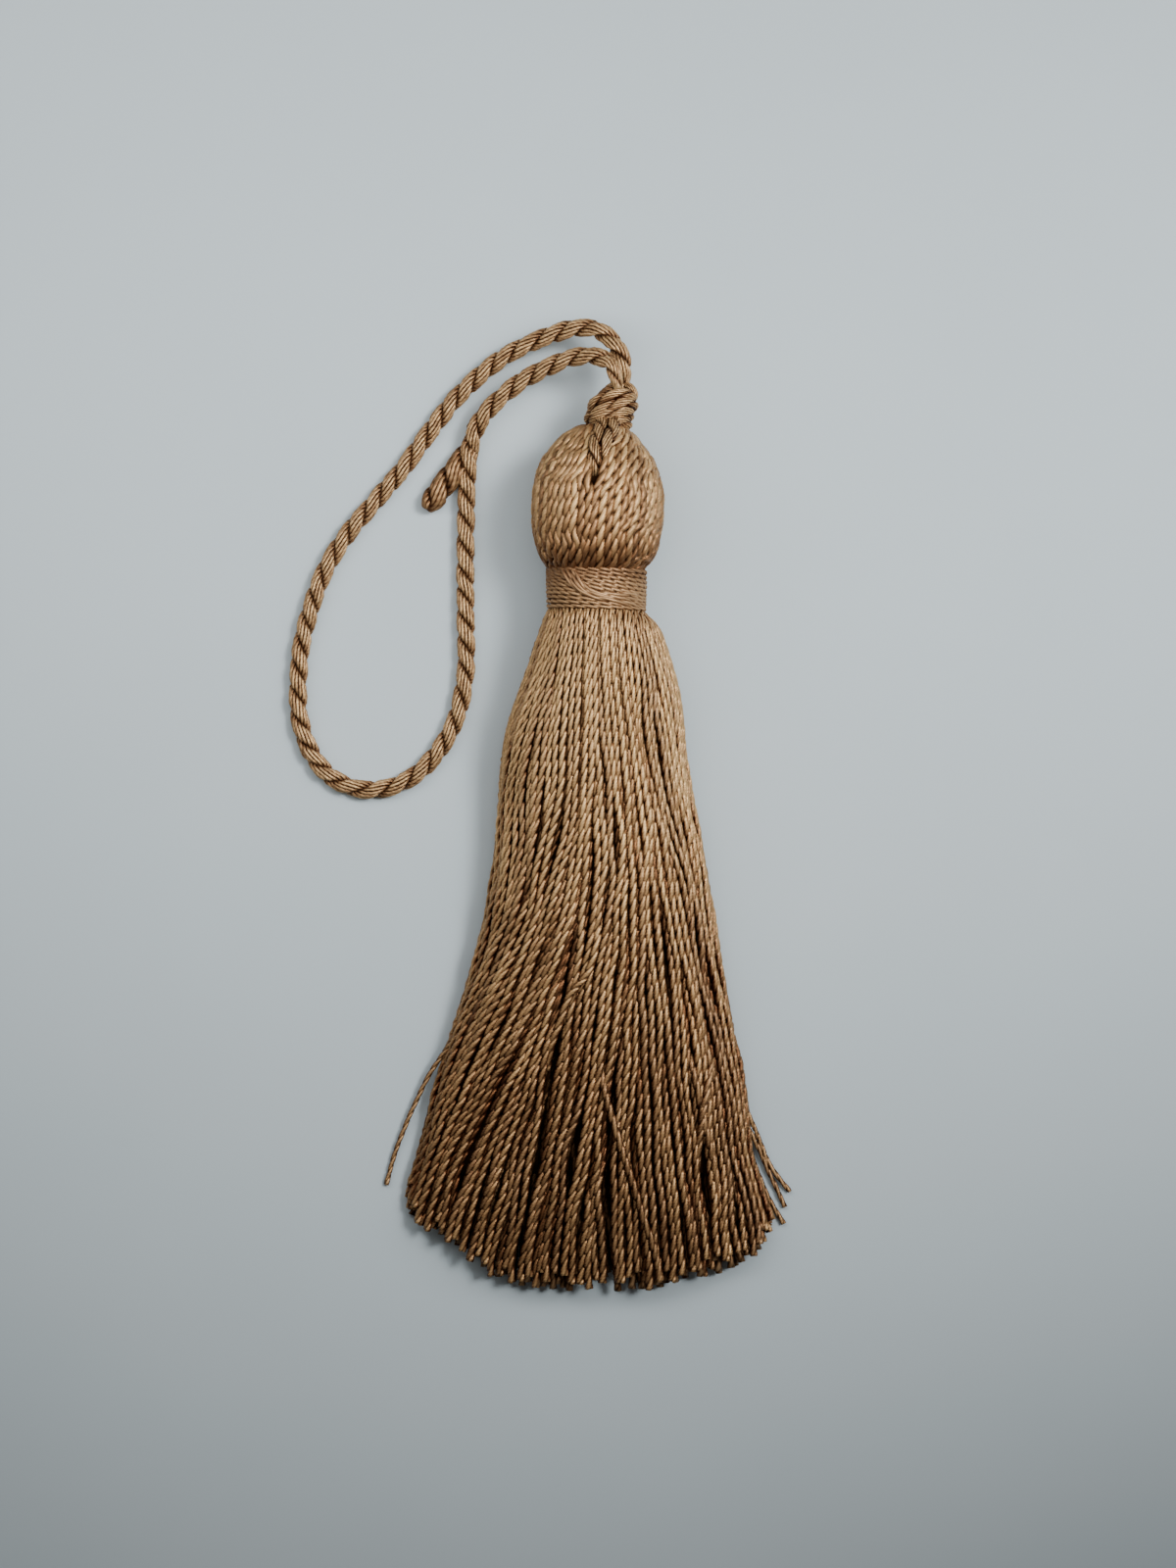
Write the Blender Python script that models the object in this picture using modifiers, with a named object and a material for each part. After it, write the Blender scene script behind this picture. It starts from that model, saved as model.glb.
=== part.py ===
# Silk key tassel lying on a table: a hank of thread doubled over a cord, bound at
# its neck, with the cord's knot and its hanging loop beside it.
# Lengths in the tables are millimetres, with z = 0 at the table, the tassel along Y
# and its skirt towards -Y. The meshes are in metres.

import math
from collections import namedtuple

import bmesh
import bpy
from mathutils import Vector
from mathutils.geometry import interpolate_bezier

MM = 0.001

# Driving dimensions
GAP = 0.3                  # between neighbouring pieces
THREAD_DIAMETER = 0.55
CORD_DIAMETER = 1.7
CORD_STEP = 2.0 * CORD_DIAMETER
BIGHT_STEP = 0.6 * CORD_DIAMETER
STRAY_STEP = 2.0
SMOOTHING_POINTS = 24      # on the smooth curve, between two points of a route

BINDING_RADIUS = 5.15
BINDING_THICKNESS = 0.5
BINDING_SOFT_EDGE = 0.2
BINDING_STEPS = 40
BINDING_LENGTH = 4.5
BINDING_MIDDLE = (0.65, 27.4, 6.2)
GROOVE_RADIUS = BINDING_RADIUS - BINDING_THICKNESS - GAP
GROOVE_HALF_LENGTH = BINDING_LENGTH / 2 + GAP
GROOVE_WALL = 0.15
NECK_SIDES = (-4.70, 6.05)  # the head's left and right sides where it meets the groove

HEAD_AXIS_HEIGHT = 6.5
HEAD_REST = 1.04           # how far the underside is pressed flat, 1 is not at all
SKIRT_REST = 1.35
HEAD_RIDGE = 0.14
HEAD_RIDGES = 18
HEAD_TWIST = 0.17          # turns of the ridges per millimetre of head
SKIRT_FURROW = 0.55
FURROW_WAVE = (0.75, 0.25, 1.7)   # mean share, swing and pace of the furrows' depth
TOOTH_WAVE = (0.8, 0.2, 2.3)      # the same for the comb's teeth
TOOTH_DEPTH = 1.5
TOOTH_LENGTH = 2.0         # from the last whole row to the tips of the comb
RIDGE_FULL_FROM = 5.0      # half width of the head from which its ridges are full
FURROW_FULL_FROM = 25.0    # distance below the binding at which the furrows are full
HEM_ROW_SHARES = (0.35, 0.65)
CROWN_RISE = 0.1
ACROSS = 36                # steps from one side of the hank to the other

KNOT_MIDDLE = (2.25, 46.0, 6.4)
KNOT_RADII = (2.65, 2.15, 2.3)
KNOT_WRAP_SPACING = 1.9
KNOT_WRAP_RELIEF = 0.1
KNOT_WRAP_LEAN = math.radians(32)

HeadRow = namedtuple("HeadRow", "along left right")
HEAD_ROWS = [
    HeadRow(43.72, 0.10, 2.10),
    HeadRow(43.40, -1.30, 3.30),
    HeadRow(42.90, -2.30, 4.25),
    HeadRow(42.40, -3.05, 4.80),
    HeadRow(41.40, -3.90, 5.50),
    HeadRow(40.40, -4.70, 6.20),
    HeadRow(39.40, -5.20, 6.70),
    HeadRow(38.40, -5.50, 7.00),
    HeadRow(36.90, -5.85, 7.35),
    HeadRow(35.40, -5.95, 7.40),
    HeadRow(33.90, -5.95, 7.35),
    HeadRow(32.40, -5.70, 7.00),
    HeadRow(31.30, -5.25, 6.65),
    HeadRow(30.50, -4.85, 6.20),
]

SkirtRow = namedtuple("SkirtRow", "along left right low side top")
SKIRT_ROWS = [
    SkirtRow(24.60, -4.65, 5.85, 1.00, 6.2, 11.40),
    SkirtRow(23.40, -5.10, 7.00, 0.40, 5.7, 11.70),
    SkirtRow(21.40, -5.80, 7.90, 0.00, 5.1, 11.70),
    SkirtRow(19.40, -6.40, 8.50, 0.00, 4.6, 11.50),
    SkirtRow(17.40, -7.10, 9.05, 0.00, 4.2, 11.25),
    SkirtRow(13.40, -8.45, 9.70, 0.00, 3.5, 10.80),
    SkirtRow(9.40, -9.15, 10.05, 0.00, 3.0, 10.30),
    SkirtRow(5.40, -9.40, 10.70, 0.00, 2.6, 9.90),
    SkirtRow(1.40, -9.70, 11.50, 0.00, 2.3, 9.50),
    SkirtRow(-2.60, -10.20, 12.25, 0.00, 2.0, 9.10),
    SkirtRow(-6.60, -10.95, 12.85, 0.00, 1.8, 8.70),
    SkirtRow(-10.60, -12.00, 13.50, 0.00, 1.6, 8.30),
    SkirtRow(-14.60, -13.15, 14.25, 0.00, 1.4, 7.80),
    SkirtRow(-18.60, -14.45, 15.00, 0.00, 1.3, 7.30),
    SkirtRow(-22.60, -15.80, 15.85, 0.00, 1.2, 6.80),
    SkirtRow(-26.60, -17.00, 16.80, 0.00, 1.1, 6.30),
    SkirtRow(-30.60, -18.10, 17.75, 0.00, 1.0, 5.90),
    SkirtRow(-34.60, -19.10, 18.90, 0.00, 0.9, 5.50),
    SkirtRow(-43.80, -21.00, 21.00, 0.00, 0.8, 4.70),
]
LAST_STRAIGHT_ROW = -30.60  # rows past this one bend with the hem

# Where the threads are cut: the share of the way across, and how far along.
HemPoint = namedtuple("HemPoint", "across along")
HEM = [
    HemPoint(0.00, -35.1),
    HemPoint(0.05, -37.3),
    HemPoint(0.115, -39.1),
    HemPoint(0.18, -41.6),
    HemPoint(0.23, -42.9),
    HemPoint(0.31, -43.5),
    HemPoint(0.50, -43.75),
    HemPoint(0.62, -43.75),
    HemPoint(0.75, -43.2),
    HemPoint(0.88, -42.3),
    HemPoint(0.95, -40.1),
    HemPoint(1.00, -37.6),
]

# Threads that stand away from the skirt's sides, from inside it to their cut ends.
STRAY_THREADS = [
    [(-14.3, -21, 1.2), (-16.6, -25, 0.9), (-18.8, -29.3, 0.6), (-20.1, -31.9, 0.4), (-20.8, -34.2, 0.35)],
    [(15.0, -24, 1.6), (17.1, -28.4, 1.2), (18.3, -31.0, 0.9), (19.6, -33.0, 0.6), (20.8, -34.4, 0.4)],
    [(15.6, -26, 1.0), (17.4, -29.4, 0.8), (18.5, -31.9, 0.6), (19.4, -34.0, 0.4), (20.1, -35.8, 0.35)],
]

# The cord's hanging loop, from the knot round the far side and back to the knot.
CORD_ROUTE = [
    (3.45, 48.75, 5.6), (3.35, 50.1, 5.75), (2.8, 51.6, 5.5), (1.9, 52.8, 5.1), (0.4, 53.7, 4.6),
    (-1.6, 53.8, 4.0), (-4.0, 53.2, 3.3), (-6.6, 52.2, 2.6), (-9.2, 50.8, 1.95), (-11.6, 48.95, 1.45),
    (-13.9, 46.7, 1.1), (-16.4, 43.5, 0.9), (-19.1, 39.8, 0.87), (-21.9, 36.5, 0.87), (-24.7, 33.2, 0.87),
    (-27.1, 29.4, 0.87), (-28.5, 25.7, 0.87), (-29.5, 21.9, 0.87), (-29.9, 17.9, 0.87), (-29.7, 13.9, 0.87),
    (-28.6, 10.7, 0.87), (-26.5, 8.1, 0.87), (-23.6, 6.9, 0.87), (-20.6, 7.05, 0.87), (-17.7, 8.5, 0.87),
    (-15.3, 11.1, 0.87), (-13.6, 14.5, 0.87), (-12.8, 18.4, 0.87), (-12.75, 25.0, 0.87), (-12.75, 31.9, 0.87),
    (-12.65, 36.3, 0.95), (-12.5, 39.7, 1.2), (-12.1, 42.5, 1.6), (-11.1, 44.7, 2.1), (-9.5, 46.5, 2.7),
    (-7.2, 48.3, 3.5), (-4.4, 49.75, 4.5), (-1.8, 50.7, 5.4), (0.5, 50.75, 6.4), (2.1, 49.95, 7.2),
    (2.55, 48.75, 7.45),
]

# Where the cord has kinked, one of its strands stands out sideways, twisted on itself.
PIGTAIL_ROUTE = [(-14.35, 39.6, 1.0), (-15.2, 38.2, 0.95), (-15.9, 37.05, 0.9), (-16.5, 36.0, 0.87)]

# The cord's bight: both legs run from the knot over the crown and into the head, where
# they are one turn of cord under the threads.
BIGHT_MIDDLE_X = 0.8
BIGHT_LEG_OFFSET = (CORD_DIAMETER + GAP) / 2
BIGHT_TURN = (37.45, 7.5)
BightPoint = namedtuple("BightPoint", "along height")
BIGHT_LEG = [
    BightPoint(43.55, 7.9),
    BightPoint(43.0, 8.8),
    BightPoint(42.2, 9.75),
    BightPoint(41.2, 10.35),
    BightPoint(40.2, 9.9),
    BightPoint(39.2, 9.0),
    BightPoint(38.3, 8.2),
]
CHANNEL_HALF_WIDTH = 2.45   # the channel that the bight lies in, an oval slot
CHANNEL_HALF_HEIGHT = 1.5
CHANNEL_ENDS = (BightPoint(44.6, 6.2), BightPoint(36.5, 6.8))


def clear_scene():
    for old in list(bpy.data.objects):
        bpy.data.objects.remove(old, do_unlink=True)


def make_collection(name):
    collection = bpy.data.collections.new(name)
    bpy.context.scene.collection.children.link(collection)
    return collection


def make_material(name, colour, roughness):
    material = bpy.data.materials.new(name)
    material.use_nodes = True
    shader = material.node_tree.nodes["Principled BSDF"]
    shader.inputs["Base Color"].default_value = (*colour, 1.0)
    shader.inputs["Roughness"].default_value = roughness
    shader.inputs["Metallic"].default_value = 0.0
    return material


def place_object(name, data, collection, material):
    placed = bpy.data.objects.new(name, data)
    collection.objects.link(placed)
    data.materials.append(material)
    return placed


def interpolate_row(rows, along):
    # The row between its two neighbours in a table that runs down its "along" column.
    for upper, lower in zip(rows, rows[1:]):
        if along >= lower.along:
            break
    share = min(1.0, max(0.0, (upper.along - along) / (upper.along - lower.along)))
    return type(upper)(*(a + (b - a) * share for a, b in zip(upper, lower)))


def hem_along(across):
    for before, after in zip(HEM, HEM[1:]):
        if across <= after.across:
            break
    share = (across - before.across) / (after.across - before.across)
    return before.along + (after.along - before.along) * share


def wave_at(wave, column):
    mean, swing, pace = wave
    return mean + swing * math.sin(pace * column)


def head_section(row):
    # Round sections of the head, each pressed flat where it meets the table.
    middle = (row.left + row.right) / 2
    half = (row.right - row.left) / 2
    ring = []
    for step in range(2 * ACROSS):
        turn = math.pi * step / ACROSS
        spiral = 2 * math.pi * (HEAD_RIDGES * step / (2 * ACROSS) + HEAD_TWIST * row.along)
        ridge = HEAD_RIDGE * math.cos(spiral) * min(1.0, half / RIDGE_FULL_FROM)
        if math.sin(turn) > 0:
            reach = half + ridge
            height = HEAD_AXIS_HEIGHT + reach * math.sin(turn)
        else:
            reach = half
            height = max(0.0, HEAD_AXIS_HEIGHT + HEAD_REST * reach * math.sin(turn))
        ring.append(Vector((middle - reach * math.cos(turn), row.along, height)))
    return ring


def groove_section(along):
    # The neck under the binding, drawn in to a plain round.
    middle_x, _, middle_z = BINDING_MIDDLE
    ring = []
    for step in range(2 * ACROSS):
        turn = math.pi * step / ACROSS
        ring.append(Vector((
            middle_x - GROOVE_RADIUS * math.cos(turn),
            along,
            middle_z + GROOVE_RADIUS * math.sin(turn),
        )))
    return ring


def skirt_section(along_at):
    # along_at gives how far along the skirt a point lies, from its share of the way across.
    ring = []
    for step in range(2 * ACROSS):
        turn = math.pi * step / ACROSS
        across = (1 - math.cos(turn)) / 2
        column = step if step <= ACROSS else 2 * ACROSS - step
        along = along_at(across, column)
        row = interpolate_row(SKIRT_ROWS, along)
        rise = math.sin(turn)
        if rise >= 0:
            opened = min(1.0, (SKIRT_ROWS[0].along - along) / FURROW_FULL_FROM)
            furrow = SKIRT_FURROW * opened * (column % 2) * wave_at(FURROW_WAVE, column)
            height = row.side + (row.top - row.side - furrow) * rise
        else:
            height = max(row.low, row.side + (row.side - row.low) * SKIRT_REST * rise)
        ring.append(Vector((row.left + (row.right - row.left) * across, along, height)))
    return ring


def hem_tooth(column):
    return TOOTH_DEPTH * (column % 2) * wave_at(TOOTH_WAVE, column)


def hank_rings():
    rings = [head_section(row) for row in HEAD_ROWS]
    groove_top = BINDING_MIDDLE[1] + GROOVE_HALF_LENGTH
    groove_end = BINDING_MIDDLE[1] - GROOVE_HALF_LENGTH
    rings.append(head_section(HeadRow(groove_top + GROOVE_WALL, *NECK_SIDES)))
    rings.append(groove_section(groove_top))
    rings.append(groove_section(groove_end))
    for row in SKIRT_ROWS:
        if row.along >= LAST_STRAIGHT_ROW:
            rings.append(skirt_section(lambda across, column, along=row.along: along))
    for share in HEM_ROW_SHARES:
        rings.append(skirt_section(
            lambda across, column, share=share:
            LAST_STRAIGHT_ROW + share * (hem_along(across) - LAST_STRAIGHT_ROW)
        ))
    rings.append(skirt_section(lambda across, column: hem_along(across) + TOOTH_LENGTH))
    rings.append(skirt_section(lambda across, column: hem_along(across) + hem_tooth(column)))
    return rings


def make_hank(collection, material):
    # One loft from the crown to the cut ends. The sections go from round to flat and
    # the last one is notched like a comb, so its faces are joined ring by ring.
    mesh = bmesh.new()
    rings = [[mesh.verts.new(point * MM) for point in ring] for ring in hank_rings()]
    count = 2 * ACROSS
    crown = sum((vert.co for vert in rings[0]), Vector()) / count
    pole = mesh.verts.new(crown + Vector((0.0, CROWN_RISE * MM, 0.0)))
    for step in range(count):
        mesh.faces.new((pole, rings[0][step], rings[0][(step + 1) % count]))
    for upper, lower in zip(rings, rings[1:]):
        for step in range(count):
            following = (step + 1) % count
            mesh.faces.new((upper[step], lower[step], lower[following], upper[following]))
    hem = rings[-1]
    for step in range(ACROSS):
        face = [hem[step], hem[step + 1], hem[(count - step - 1) % count], hem[(count - step) % count]]
        corners = list(dict.fromkeys(face))
        mesh.faces.new(corners)
    bmesh.ops.recalc_face_normals(mesh, faces=mesh.faces)
    bmesh.ops.triangulate(mesh, faces=mesh.faces)
    data = bpy.data.meshes.new("yarn_hank")
    mesh.to_mesh(data)
    mesh.free()
    return place_object("yarn_hank", data, collection, material)


def smooth_route(route, step):
    # Points a fixed step apart on a smooth curve through the route's points.
    points = [Vector(point) for point in route]
    tangents = []
    for index in range(len(points)):
        before = points[max(index - 1, 0)]
        after = points[min(index + 1, len(points) - 1)]
        tangents.append((after - before).normalized())
    fine = []
    for index in range(len(points) - 1):
        handle = (points[index + 1] - points[index]).length / 3
        fine += interpolate_bezier(
            points[index],
            points[index] + tangents[index] * handle,
            points[index + 1] - tangents[index + 1] * handle,
            points[index + 1],
            SMOOTHING_POINTS,
        )[:-1]
    fine.append(points[-1])
    length = sum((b - a).length for a, b in zip(fine, fine[1:]))
    spacing = length / max(1, round(length / step))
    even = [fine[0]]
    walked = 0.0
    for a, b in zip(fine, fine[1:]):
        walked += (b - a).length
        if walked >= spacing * len(even) - 1e-6:
            even.append(b)
    even[-1] = fine[-1]
    return even


def make_tube(name, route, step, diameter, collection, material):
    curve = bpy.data.curves.new(name, "CURVE")
    curve.dimensions = "3D"
    curve.bevel_depth = diameter / 2 * MM
    curve.bevel_resolution = 2
    curve.use_fill_caps = True
    points = smooth_route(route, step)
    spline = curve.splines.new("POLY")
    spline.points.add(len(points) - 1)
    for point, place in zip(spline.points, points):
        point.co = (*(place * MM), 1.0)
    return place_object(name, curve, collection, material)


def make_cutter(name, route, step, diameter, cutters, material):
    # A tube turned into a closed mesh, so that a Boolean can use it.
    tube = make_tube(name + "_curve", route, step, diameter, cutters, material)
    depsgraph = bpy.context.evaluated_depsgraph_get()
    data = bpy.data.meshes.new_from_object(tube.evaluated_get(depsgraph))
    mesh = bmesh.new()
    mesh.from_mesh(data)
    bmesh.ops.remove_doubles(mesh, verts=mesh.verts, dist=1e-6)
    mesh.to_mesh(data)
    mesh.free()
    cutter = bpy.data.objects.new(name, data)
    cutter.matrix_world = tube.matrix_world
    cutters.objects.link(cutter)
    cutter.hide_render = True
    cutter.display_type = "WIRE"
    bpy.data.objects.remove(tube, do_unlink=True)
    return cutter


def add_boolean(target, cutter, operation):
    boolean = target.modifiers.new(cutter.name, "BOOLEAN")
    boolean.operation = operation
    boolean.object = cutter
    boolean.solver = "EXACT"


def bight_route():
    right = [(BIGHT_MIDDLE_X + BIGHT_LEG_OFFSET, *point) for point in BIGHT_LEG]
    left = [(BIGHT_MIDDLE_X - BIGHT_LEG_OFFSET, *point) for point in reversed(BIGHT_LEG)]
    return right + [(BIGHT_MIDDLE_X, *BIGHT_TURN)] + left


def make_channel(cutters, material):
    # A round tube between the two legs, widened until it clears them both.
    crown, end = CHANNEL_ENDS
    route = [(0.0, *point) for point in (crown, *BIGHT_LEG, end)]
    channel = make_cutter("bight_channel", route, BIGHT_STEP, 2 * CHANNEL_HALF_HEIGHT, cutters, material)
    channel.scale.x = CHANNEL_HALF_WIDTH / CHANNEL_HALF_HEIGHT
    channel.location.x = BIGHT_MIDDLE_X * MM
    return channel


def make_binding(collection, material):
    # The wound thread round the neck: a closed profile turned about the neck's axis.
    inner = BINDING_RADIUS - BINDING_THICKNESS
    half = BINDING_LENGTH / 2
    soft = BINDING_SOFT_EDGE
    profile = [
        (inner, half),
        (BINDING_RADIUS - soft, half),
        (BINDING_RADIUS, half - soft),
        (BINDING_RADIUS, soft - half),
        (BINDING_RADIUS - soft, -half),
        (inner, -half),
    ]
    mesh = bmesh.new()
    verts = [mesh.verts.new((radius * MM, 0.0, height * MM)) for radius, height in profile]
    for index, vert in enumerate(verts):
        mesh.edges.new((vert, verts[(index + 1) % len(verts)]))
    data = bpy.data.meshes.new("neck_binding")
    mesh.to_mesh(data)
    mesh.free()
    binding = place_object("neck_binding", data, collection, material)
    screw = binding.modifiers.new("turned", "SCREW")
    screw.axis = "Z"
    screw.steps = BINDING_STEPS
    screw.render_steps = BINDING_STEPS
    screw.use_merge_vertices = True
    screw.merge_threshold = 0.0001
    screw.use_normal_calculate = True
    binding.location = Vector(BINDING_MIDDLE) * MM
    binding.rotation_euler = (math.radians(-90), 0.0, 0.0)
    return binding


def make_knot(collection, material):
    # An overhand knot in the doubled cord: a round lump with leaning wraps.
    mesh = bmesh.new()
    bmesh.ops.create_uvsphere(mesh, u_segments=24, v_segments=14, radius=1.0)
    lean = Vector((-math.sin(KNOT_WRAP_LEAN), math.cos(KNOT_WRAP_LEAN), 0.0))
    for vert in mesh.verts:
        place = Vector(a * b for a, b in zip(vert.co, KNOT_RADII))
        wrap = math.cos(2 * math.pi * (place.dot(lean) / KNOT_WRAP_SPACING + 0.5))
        vert.co = (Vector(KNOT_MIDDLE) + place * (1 + KNOT_WRAP_RELIEF * (wrap - 1) / 2)) * MM
    data = bpy.data.meshes.new("cord_knot")
    mesh.to_mesh(data)
    mesh.free()
    knot = place_object("cord_knot", data, collection, material)
    data.shade_smooth()
    return knot


clear_scene()
tassel = make_collection("silk_tassel")
cutters = make_collection("cutters")

silk = make_material("silk_thread", (0.52, 0.36, 0.21), 0.42)
binding_silk = make_material("binding_thread", (0.48, 0.33, 0.19), 0.42)
cord_silk = make_material("cord_silk", (0.50, 0.35, 0.20), 0.45)
knot_silk = make_material("knot_silk", (0.46, 0.31, 0.17), 0.45)
bight_silk = make_material("bight_silk", (0.50, 0.35, 0.20), 0.45)
pigtail_silk = make_material("pigtail_silk", (0.47, 0.32, 0.18), 0.45)

hank = make_hank(tassel, silk)
for number, route in enumerate(STRAY_THREADS):
    stray = make_cutter(f"stray_thread_{number}", route, STRAY_STEP, THREAD_DIAMETER, cutters, silk)
    add_boolean(hank, stray, "UNION")
add_boolean(hank, make_channel(cutters, silk), "DIFFERENCE")

make_binding(tassel, binding_silk)
make_knot(tassel, knot_silk)
make_tube("cord_bight", bight_route(), BIGHT_STEP, CORD_DIAMETER, tassel, bight_silk)
make_tube("cord_loop", CORD_ROUTE, CORD_STEP, CORD_DIAMETER, tassel, cord_silk)
make_tube("cord_pigtail", PIGTAIL_ROUTE, CORD_DIAMETER, CORD_DIAMETER, tassel, pigtail_silk)
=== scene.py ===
import math
from math import tau

import bpy
import numpy as np
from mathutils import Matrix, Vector


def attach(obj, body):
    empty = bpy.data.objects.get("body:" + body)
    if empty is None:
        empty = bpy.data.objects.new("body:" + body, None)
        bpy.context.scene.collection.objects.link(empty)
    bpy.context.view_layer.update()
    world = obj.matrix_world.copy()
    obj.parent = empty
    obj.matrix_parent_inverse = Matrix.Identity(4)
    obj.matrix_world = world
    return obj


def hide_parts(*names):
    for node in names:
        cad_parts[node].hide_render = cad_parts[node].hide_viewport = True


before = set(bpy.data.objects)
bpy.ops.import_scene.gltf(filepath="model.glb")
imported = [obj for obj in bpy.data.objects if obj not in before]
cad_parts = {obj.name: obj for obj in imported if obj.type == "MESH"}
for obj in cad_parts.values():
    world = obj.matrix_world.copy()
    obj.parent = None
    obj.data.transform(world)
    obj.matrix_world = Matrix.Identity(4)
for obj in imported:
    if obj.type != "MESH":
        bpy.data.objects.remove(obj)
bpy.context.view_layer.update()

# A silk tassel lying on a table, its head towards +Y. Lengths are millimetres unless metres are named.
mm = 0.001
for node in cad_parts.values():
    node.select_set(False)


def smoothStep(value):
    share = np.clip(value, 0.0, 1.0)
    return share * share * (3 - 2 * share)


def easeThrough(rows, values, wanted):
    # Reads a smooth curve through values.
    rows = np.asarray(rows, float)
    values = np.asarray(values, float)
    slope = np.gradient(values, rows)
    index = np.clip(np.searchsorted(rows, wanted) - 1, 0, len(rows) - 2)
    width = rows[index + 1] - rows[index]
    share = np.clip((wanted - rows[index]) / width, 0.0, 1.0)
    squared, cubed = share ** 2, share ** 3
    return (
        (2 * cubed - 3 * squared + 1) * values[index]
        + (cubed - 2 * squared + share) * width * slope[index]
        + (3 * squared - 2 * cubed) * values[index + 1]
        + (cubed - squared) * width * slope[index + 1]
    )


def lengthsAlong(points):
    steps = np.linalg.norm(np.diff(points, axis=0), axis=1)
    return np.concatenate([[0.0], np.cumsum(steps)])


def unit(vectors):
    return vectors / np.maximum(np.linalg.norm(vectors, axis=1), 1e-9)[:, None]


def evenLine(points, step):
    # Points an even step apart on a smooth curve.
    points = np.asarray(points, float)
    knots = lengthsAlong(points)
    fine = np.linspace(0.0, knots[-1], 12 * len(points))
    curve = np.stack([easeThrough(knots, column, fine) for column in points.T], 1)
    walked = lengthsAlong(curve)
    wanted = np.linspace(0.0, walked[-1], max(4, int(round(walked[-1] / step)) + 1))
    return np.stack([np.interp(wanted, walked, column) for column in curve.T], 1)


def carriedFrames(points):
    # Two directions across a line, carried along it without turning.
    along = unit(np.gradient(points, axis=0))
    side = np.array([0.0, 0.0, 1.0] if abs(along[0, 2]) < 0.8 else [0.0, 1.0, 0.0])
    sides = np.empty_like(points)
    for index, direction in enumerate(along):
        side = side - direction * side.dot(direction)
        side = side / np.linalg.norm(side)
        sides[index] = side
    return sides, np.cross(along, sides)


swayWaves = ((1.0, 0.6), (0.53, 0.3), (0.29, 0.15))  # length and share of each


def wander(rng, at, reach, wave):
    # A slow random sway.
    sway = np.zeros_like(at)
    for part, share in swayWaves:
        phase = rng.uniform(0, tau)
        length = wave * part * rng.uniform(0.8, 1.25)
        sway += share * np.sin(tau * at / length + phase)
    return reach * sway


twoPly = [  # the outline of two soft plies
    (0.46, 0.17), (0.27, 0.37), (0.0, 0.22), (-0.27, 0.37), (-0.46, 0.17),
    (-0.46, -0.17), (-0.27, -0.37), (0.0, -0.22), (0.27, -0.37), (0.46, -0.17),
]
flatThread = [(0.5, 0.0), (0.25, 0.34), (-0.25, 0.34), (-0.5, 0.0), (-0.25, -0.34), (0.25, -0.34)]
roundYarn = [(0.5 * math.cos(tau * k / 6), 0.5 * math.sin(tau * k / 6)) for k in range(6)]
# How the painted shade on the sides of strands is worked out.
strandLight = {
    "ofStrand": 0.72, "ofPly": 0.28,  # how much it counts to face out of each
    "plyMiddle": 0.26,
    "full": 0.84,  # the share of the rise that lights a face fully
}
bakeMap = {
    "start": 0.002, "reach": 0.974,  # of the longest strand along the map
    "margin": 0.05,  # of a strip, on each side
    "caps": (0.9955, 0.9865), "capAlong": 0.003, "capAcross": 0.3,  # where the strands' ends lie
}


def setOut(x, y, turn, width, across, upward):
    # Places of an outline, turned and set out from every point of a line.
    outX = (x * np.cos(turn) - y * np.sin(turn)) * width
    outY = (x * np.sin(turn) + y * np.cos(turn)) * width
    return outX[..., None] * across[:, None] + outY[..., None] * upward[:, None]


def strandRings(strand, outline):
    # Rings of points round a strand, and the painted shade of each: 1 facing out of the piece, 0 facing in
    # towards its neighbours.
    points = strand["points"]
    names = ("turn", "width", "shadeFrom", "shade")
    turn, width, begin, shade = (np.broadcast_to(strand[name], len(points))[:, None] for name in names)
    across, upward = carriedFrames(points)
    offset = setOut(*outline.T, turn, width, across, upward)
    plyMiddle = np.zeros(len(outline))
    if len(outline) == len(twoPly):
        plyMiddle = np.sign(np.round(outline[:, 0], 3)) * strandLight["plyMiddle"]
    inPly = offset - setOut(plyMiddle, 0.0, turn, width, across, upward)
    facing = sum(
        strandLight[name] * np.einsum("pso,po->ps", arm, strand["outward"]) / np.linalg.norm(arm, axis=2)
        for arm, name in ((offset, "ofStrand"), (inPly, "ofPly"))
    )
    lit = shade * smoothStep((facing - begin) / (strandLight["full"] * (1 - begin)))
    return points[:, None] + offset, lit


def quadCorners(along, near, far):
    # Map places for the corners of the quads between rings.
    low, high, near, far = np.broadcast_arrays(along[:-1, None], along[1:, None], near, far)
    return np.stack([low, near, low, far, high, far, high, near], -1).reshape(-1, 2)


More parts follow.
